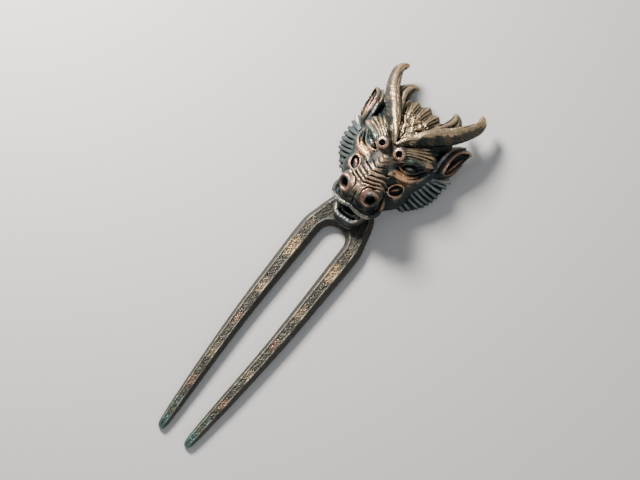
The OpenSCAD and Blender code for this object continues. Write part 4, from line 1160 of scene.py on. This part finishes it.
def strung(given):  # points at an even spacing along the lines, and the lines' direction there
    line = given["Geometry"].then("MeshToCurve")
    points = line.tree.nodes.new("GeometryNodeCurveToPoints")
    points.mode = "LENGTH"
    line.tree.links.new(line.socket, points.inputs["Curve"])
    line.tree.links.new(given["spacing"].socket, points.inputs["Length"])
    return (Wire(line.tree, points.outputs[label]) for label in ("Points", "Tangent"))


def chance(seed, low, high):
    return seed.node("FunctionNodeRandomValue", {"data_type": "FLOAT"}, {2: low, 3: high, "Seed": seed}, 1)


def hookShape(given, side):  # a stem along X that curls in on itself
    line = given["Geometry"].node("GeometryNodeCurveSpiral", inputs={
        "Resolution": given["steps"], "Rotations": given["turns"], "Start Radius": given["eye"],
        "End Radius": given["curl"], "Height": 0})
    pull = line.node("GeometryNodeSplineParameter") ** 6 * given["length"]
    line = line.then("SetPosition", {"Offset": pull.vector(x=pull)})
    mesh = tube(given, line, lambda share: 1 - share ** 8 * 0.6)
    if side < 0:
        mesh = mesh.then("Transform", {"Scale": (1, -1, 1)}).then("FlipFaces")
    return mesh.then("GeometryToInstance")


def growScroll(given):
    cloud, tangent = strung(given)
    choice = cloud.tree.nodes.new("GeometryNodeJoinGeometry")
    for side in (1, -1):
        cloud.tree.links.new(hookShape(given, side).socket, choice.inputs[0])
    index = cloud.node("GeometryNodeInputIndex")
    wobble = chance(given["seed"], 0.85, 1.15)
    return cloud.then("InstanceOnPoints", {
        "Instance": Wire(cloud.tree, choice.outputs[0]), "Pick Instance": True,
        "Instance Index": index.maths("MODULO", index, 2), "Rotation": aimed(tangent, (0, 0, 1)),
        "Scale": wobble.vector(wobble, stored(given, "width") * wobble, given["flat"])})


def growChasing(given):
    shape = rod(given, lambda share: (1 - (share * 2 - 1) ** 4) ** 0.5 + 0.1)
    cloud, tangent = strung(given)
    across = tangent.vectors("CROSS_PRODUCT", (0, 0, 1))
    off, turned, length = (chance(given["seed"] + step, low, high)
                           for step, low, high in ((1, -1, 1), (2, -1, 1), (3, 0.5, 1.2)))
    off = off * stored(given, "width") * given["spread"] / 1000
    cloud = cloud.then("SetPosition", {"Offset": across.vectors("SCALE", off, "Scale")})
    way = tangent.vectors("ADD", across.vectors("SCALE", turned * given["lean"], "Scale"))
    return cloud.then("InstanceOnPoints", {
        "Instance": shape, "Rotation": aimed(way, (0, 0, 1)), "Scale": length.vector(length, 1, 1)})


def bandLines(name, table):  # the middle line of each band, with half the band's width
    points, edges, widths = [], [], []
    for rows in table["lines"]:
        fine = smoothRows(rows, 6)
        for side in (1, -1):
            first = len(points)
            for i, (x, y) in enumerate(fine):
                half, thick = (np.interp(y, prongPath[:, 0], prongPath[:, column]) for column in (2, 3))
                points.append((x * side, y, thick - fork["sunk"] - band["sink"]))
                width = (1 - fork["bevelShare"]) * half - fork["border"] + band["spare"]
                widths.append(width * (band["neckShare"] if y > band["neckStart"] else 1))
                if i:
                    edges.append((first + i - 1, first + i))
    return pointMesh(name, points, edges, width=widths)


# Upward faces stand for proud ones here: rubbed metal, and painted light on tops and painted shade on sides
def paintReliefAndTopLight(piece, level, tilt):  # grown pieces are rubbed on their upper faces, with painted light there
    ups = upward(piece.data)
    relief = level + tilt * ups
    for label, values in (("fineRelief", relief), ("broadRelief", relief), ("facing", ups)):
        stamp(piece.data, label, values)


print("growing the ribs, the teeth and the scrollwork")
ribPiece = castRibs()
toothPiece = castTeeth()
scrollInputs = ("steps", "sides", "spacing", "length", "curl", "eye", "turns", "thickness", "flat", "seed")
scrollPiece = growth("scroll_relief", bandLines("scroll_lines", scroll), growScroll,
                     scroll, scrollInputs, forkBronze)
chasingInputs = rodInputs + ("spacing", "spread", "lean", "seed")
chasingPiece = growth("chasing", bandLines("chasing_lines", chasing), growChasing,
                      chasing, chasingInputs, forkBronze)
paintReliefAndTopLight(ribPiece, -0.06, 0.4)
paintReliefAndTopLight(toothPiece, 0.1, 0.15)
paintReliefAndTopLight(scrollPiece, -0.02, 0.26)
paintReliefAndTopLight(chasingPiece, -0.06, 0.24)

for piece in (facePiece, crownPiece, ribPiece, toothPiece):
    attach(piece, "root")
    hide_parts("dragon_head")
for piece in (forkPiece, scrollPiece, chasingPiece):
    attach(piece, "root")
    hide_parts("fork")


photo = {
    "azimuth": 37.37, "elevation": 72, "distance": 0.8, "aim": (-0.0021795, 0.0071073, 0.0045), "lens": 135,
}

studio = {
    "clip": (0.01, 10),
    "floorHalf": 1.5,
    "paper": (0.62, 0.61, 0.6, 1),
    "sky": (0.8, 0.82, 0.85, 1),
    "skyStrength": 0.32,
    # place, power, size and colour
    "lights": {
        "key": [(-0.27, 0.12, 0.24), 3.8, 0.1, (1, 0.97, 0.92)],
        "fill": [(0.3, -0.1, 0.3), 0.4, 0.3, (0.9, 0.95, 1)],
    },
}


def lookFrom(back):  # the turn of a camera or light that looks against a direction
    return (-back).to_track_quat("-Z", "Y").to_euler()


def setCamera():
    a, e = math.radians(photo["azimuth"]), math.radians(photo["elevation"])
    back = Vector((math.sin(a) * math.cos(e), -math.cos(a) * math.cos(e), math.sin(e)))
    data = bpy.data.cameras.new("camera")
    data.lens = photo["lens"]
    data.clip_start, data.clip_end = studio["clip"]
    camera = setOut("camera", data)
    camera.location = Vector(photo["aim"]) + back * photo["distance"]
    camera.rotation_euler = lookFrom(back)
    bpy.context.scene.camera = camera


def softLight(name, at, energy, size, colour):
    data = bpy.data.lights.new(name, "AREA")
    data.energy, data.size, data.color = energy, size, colour
    light = setOut(name, data)
    light.location = at
    light.rotation_euler = lookFrom(Vector(at))


def setStudio():
    mesh = bpy.data.meshes.new("floor")
    half = studio["floorHalf"]
    corners = [(-half, -half, 0), (half, -half, 0), (half, half, 0), (-half, half, 0)]
    mesh.from_pydata(corners, [], [(0, 1, 2, 3)])
    floor = setOut("floor", mesh)
    paper = bpy.data.materials.new("paper")
    paper.use_nodes = True
    paper.node_tree.nodes["Principled BSDF"].inputs["Base Color"].default_value = studio["paper"]
    mesh.materials.append(paper)
    world = bpy.data.worlds.new("studio")
    bpy.context.scene.world = world
    world.use_nodes = True
    background = world.node_tree.nodes["Background"].inputs
    background["Color"].default_value = studio["sky"]
    background["Strength"].default_value = studio["skyStrength"]
    for name, light in studio["lights"].items():
        softLight(name, *light)


print("setting the camera and the lights")
setCamera()
setStudio()
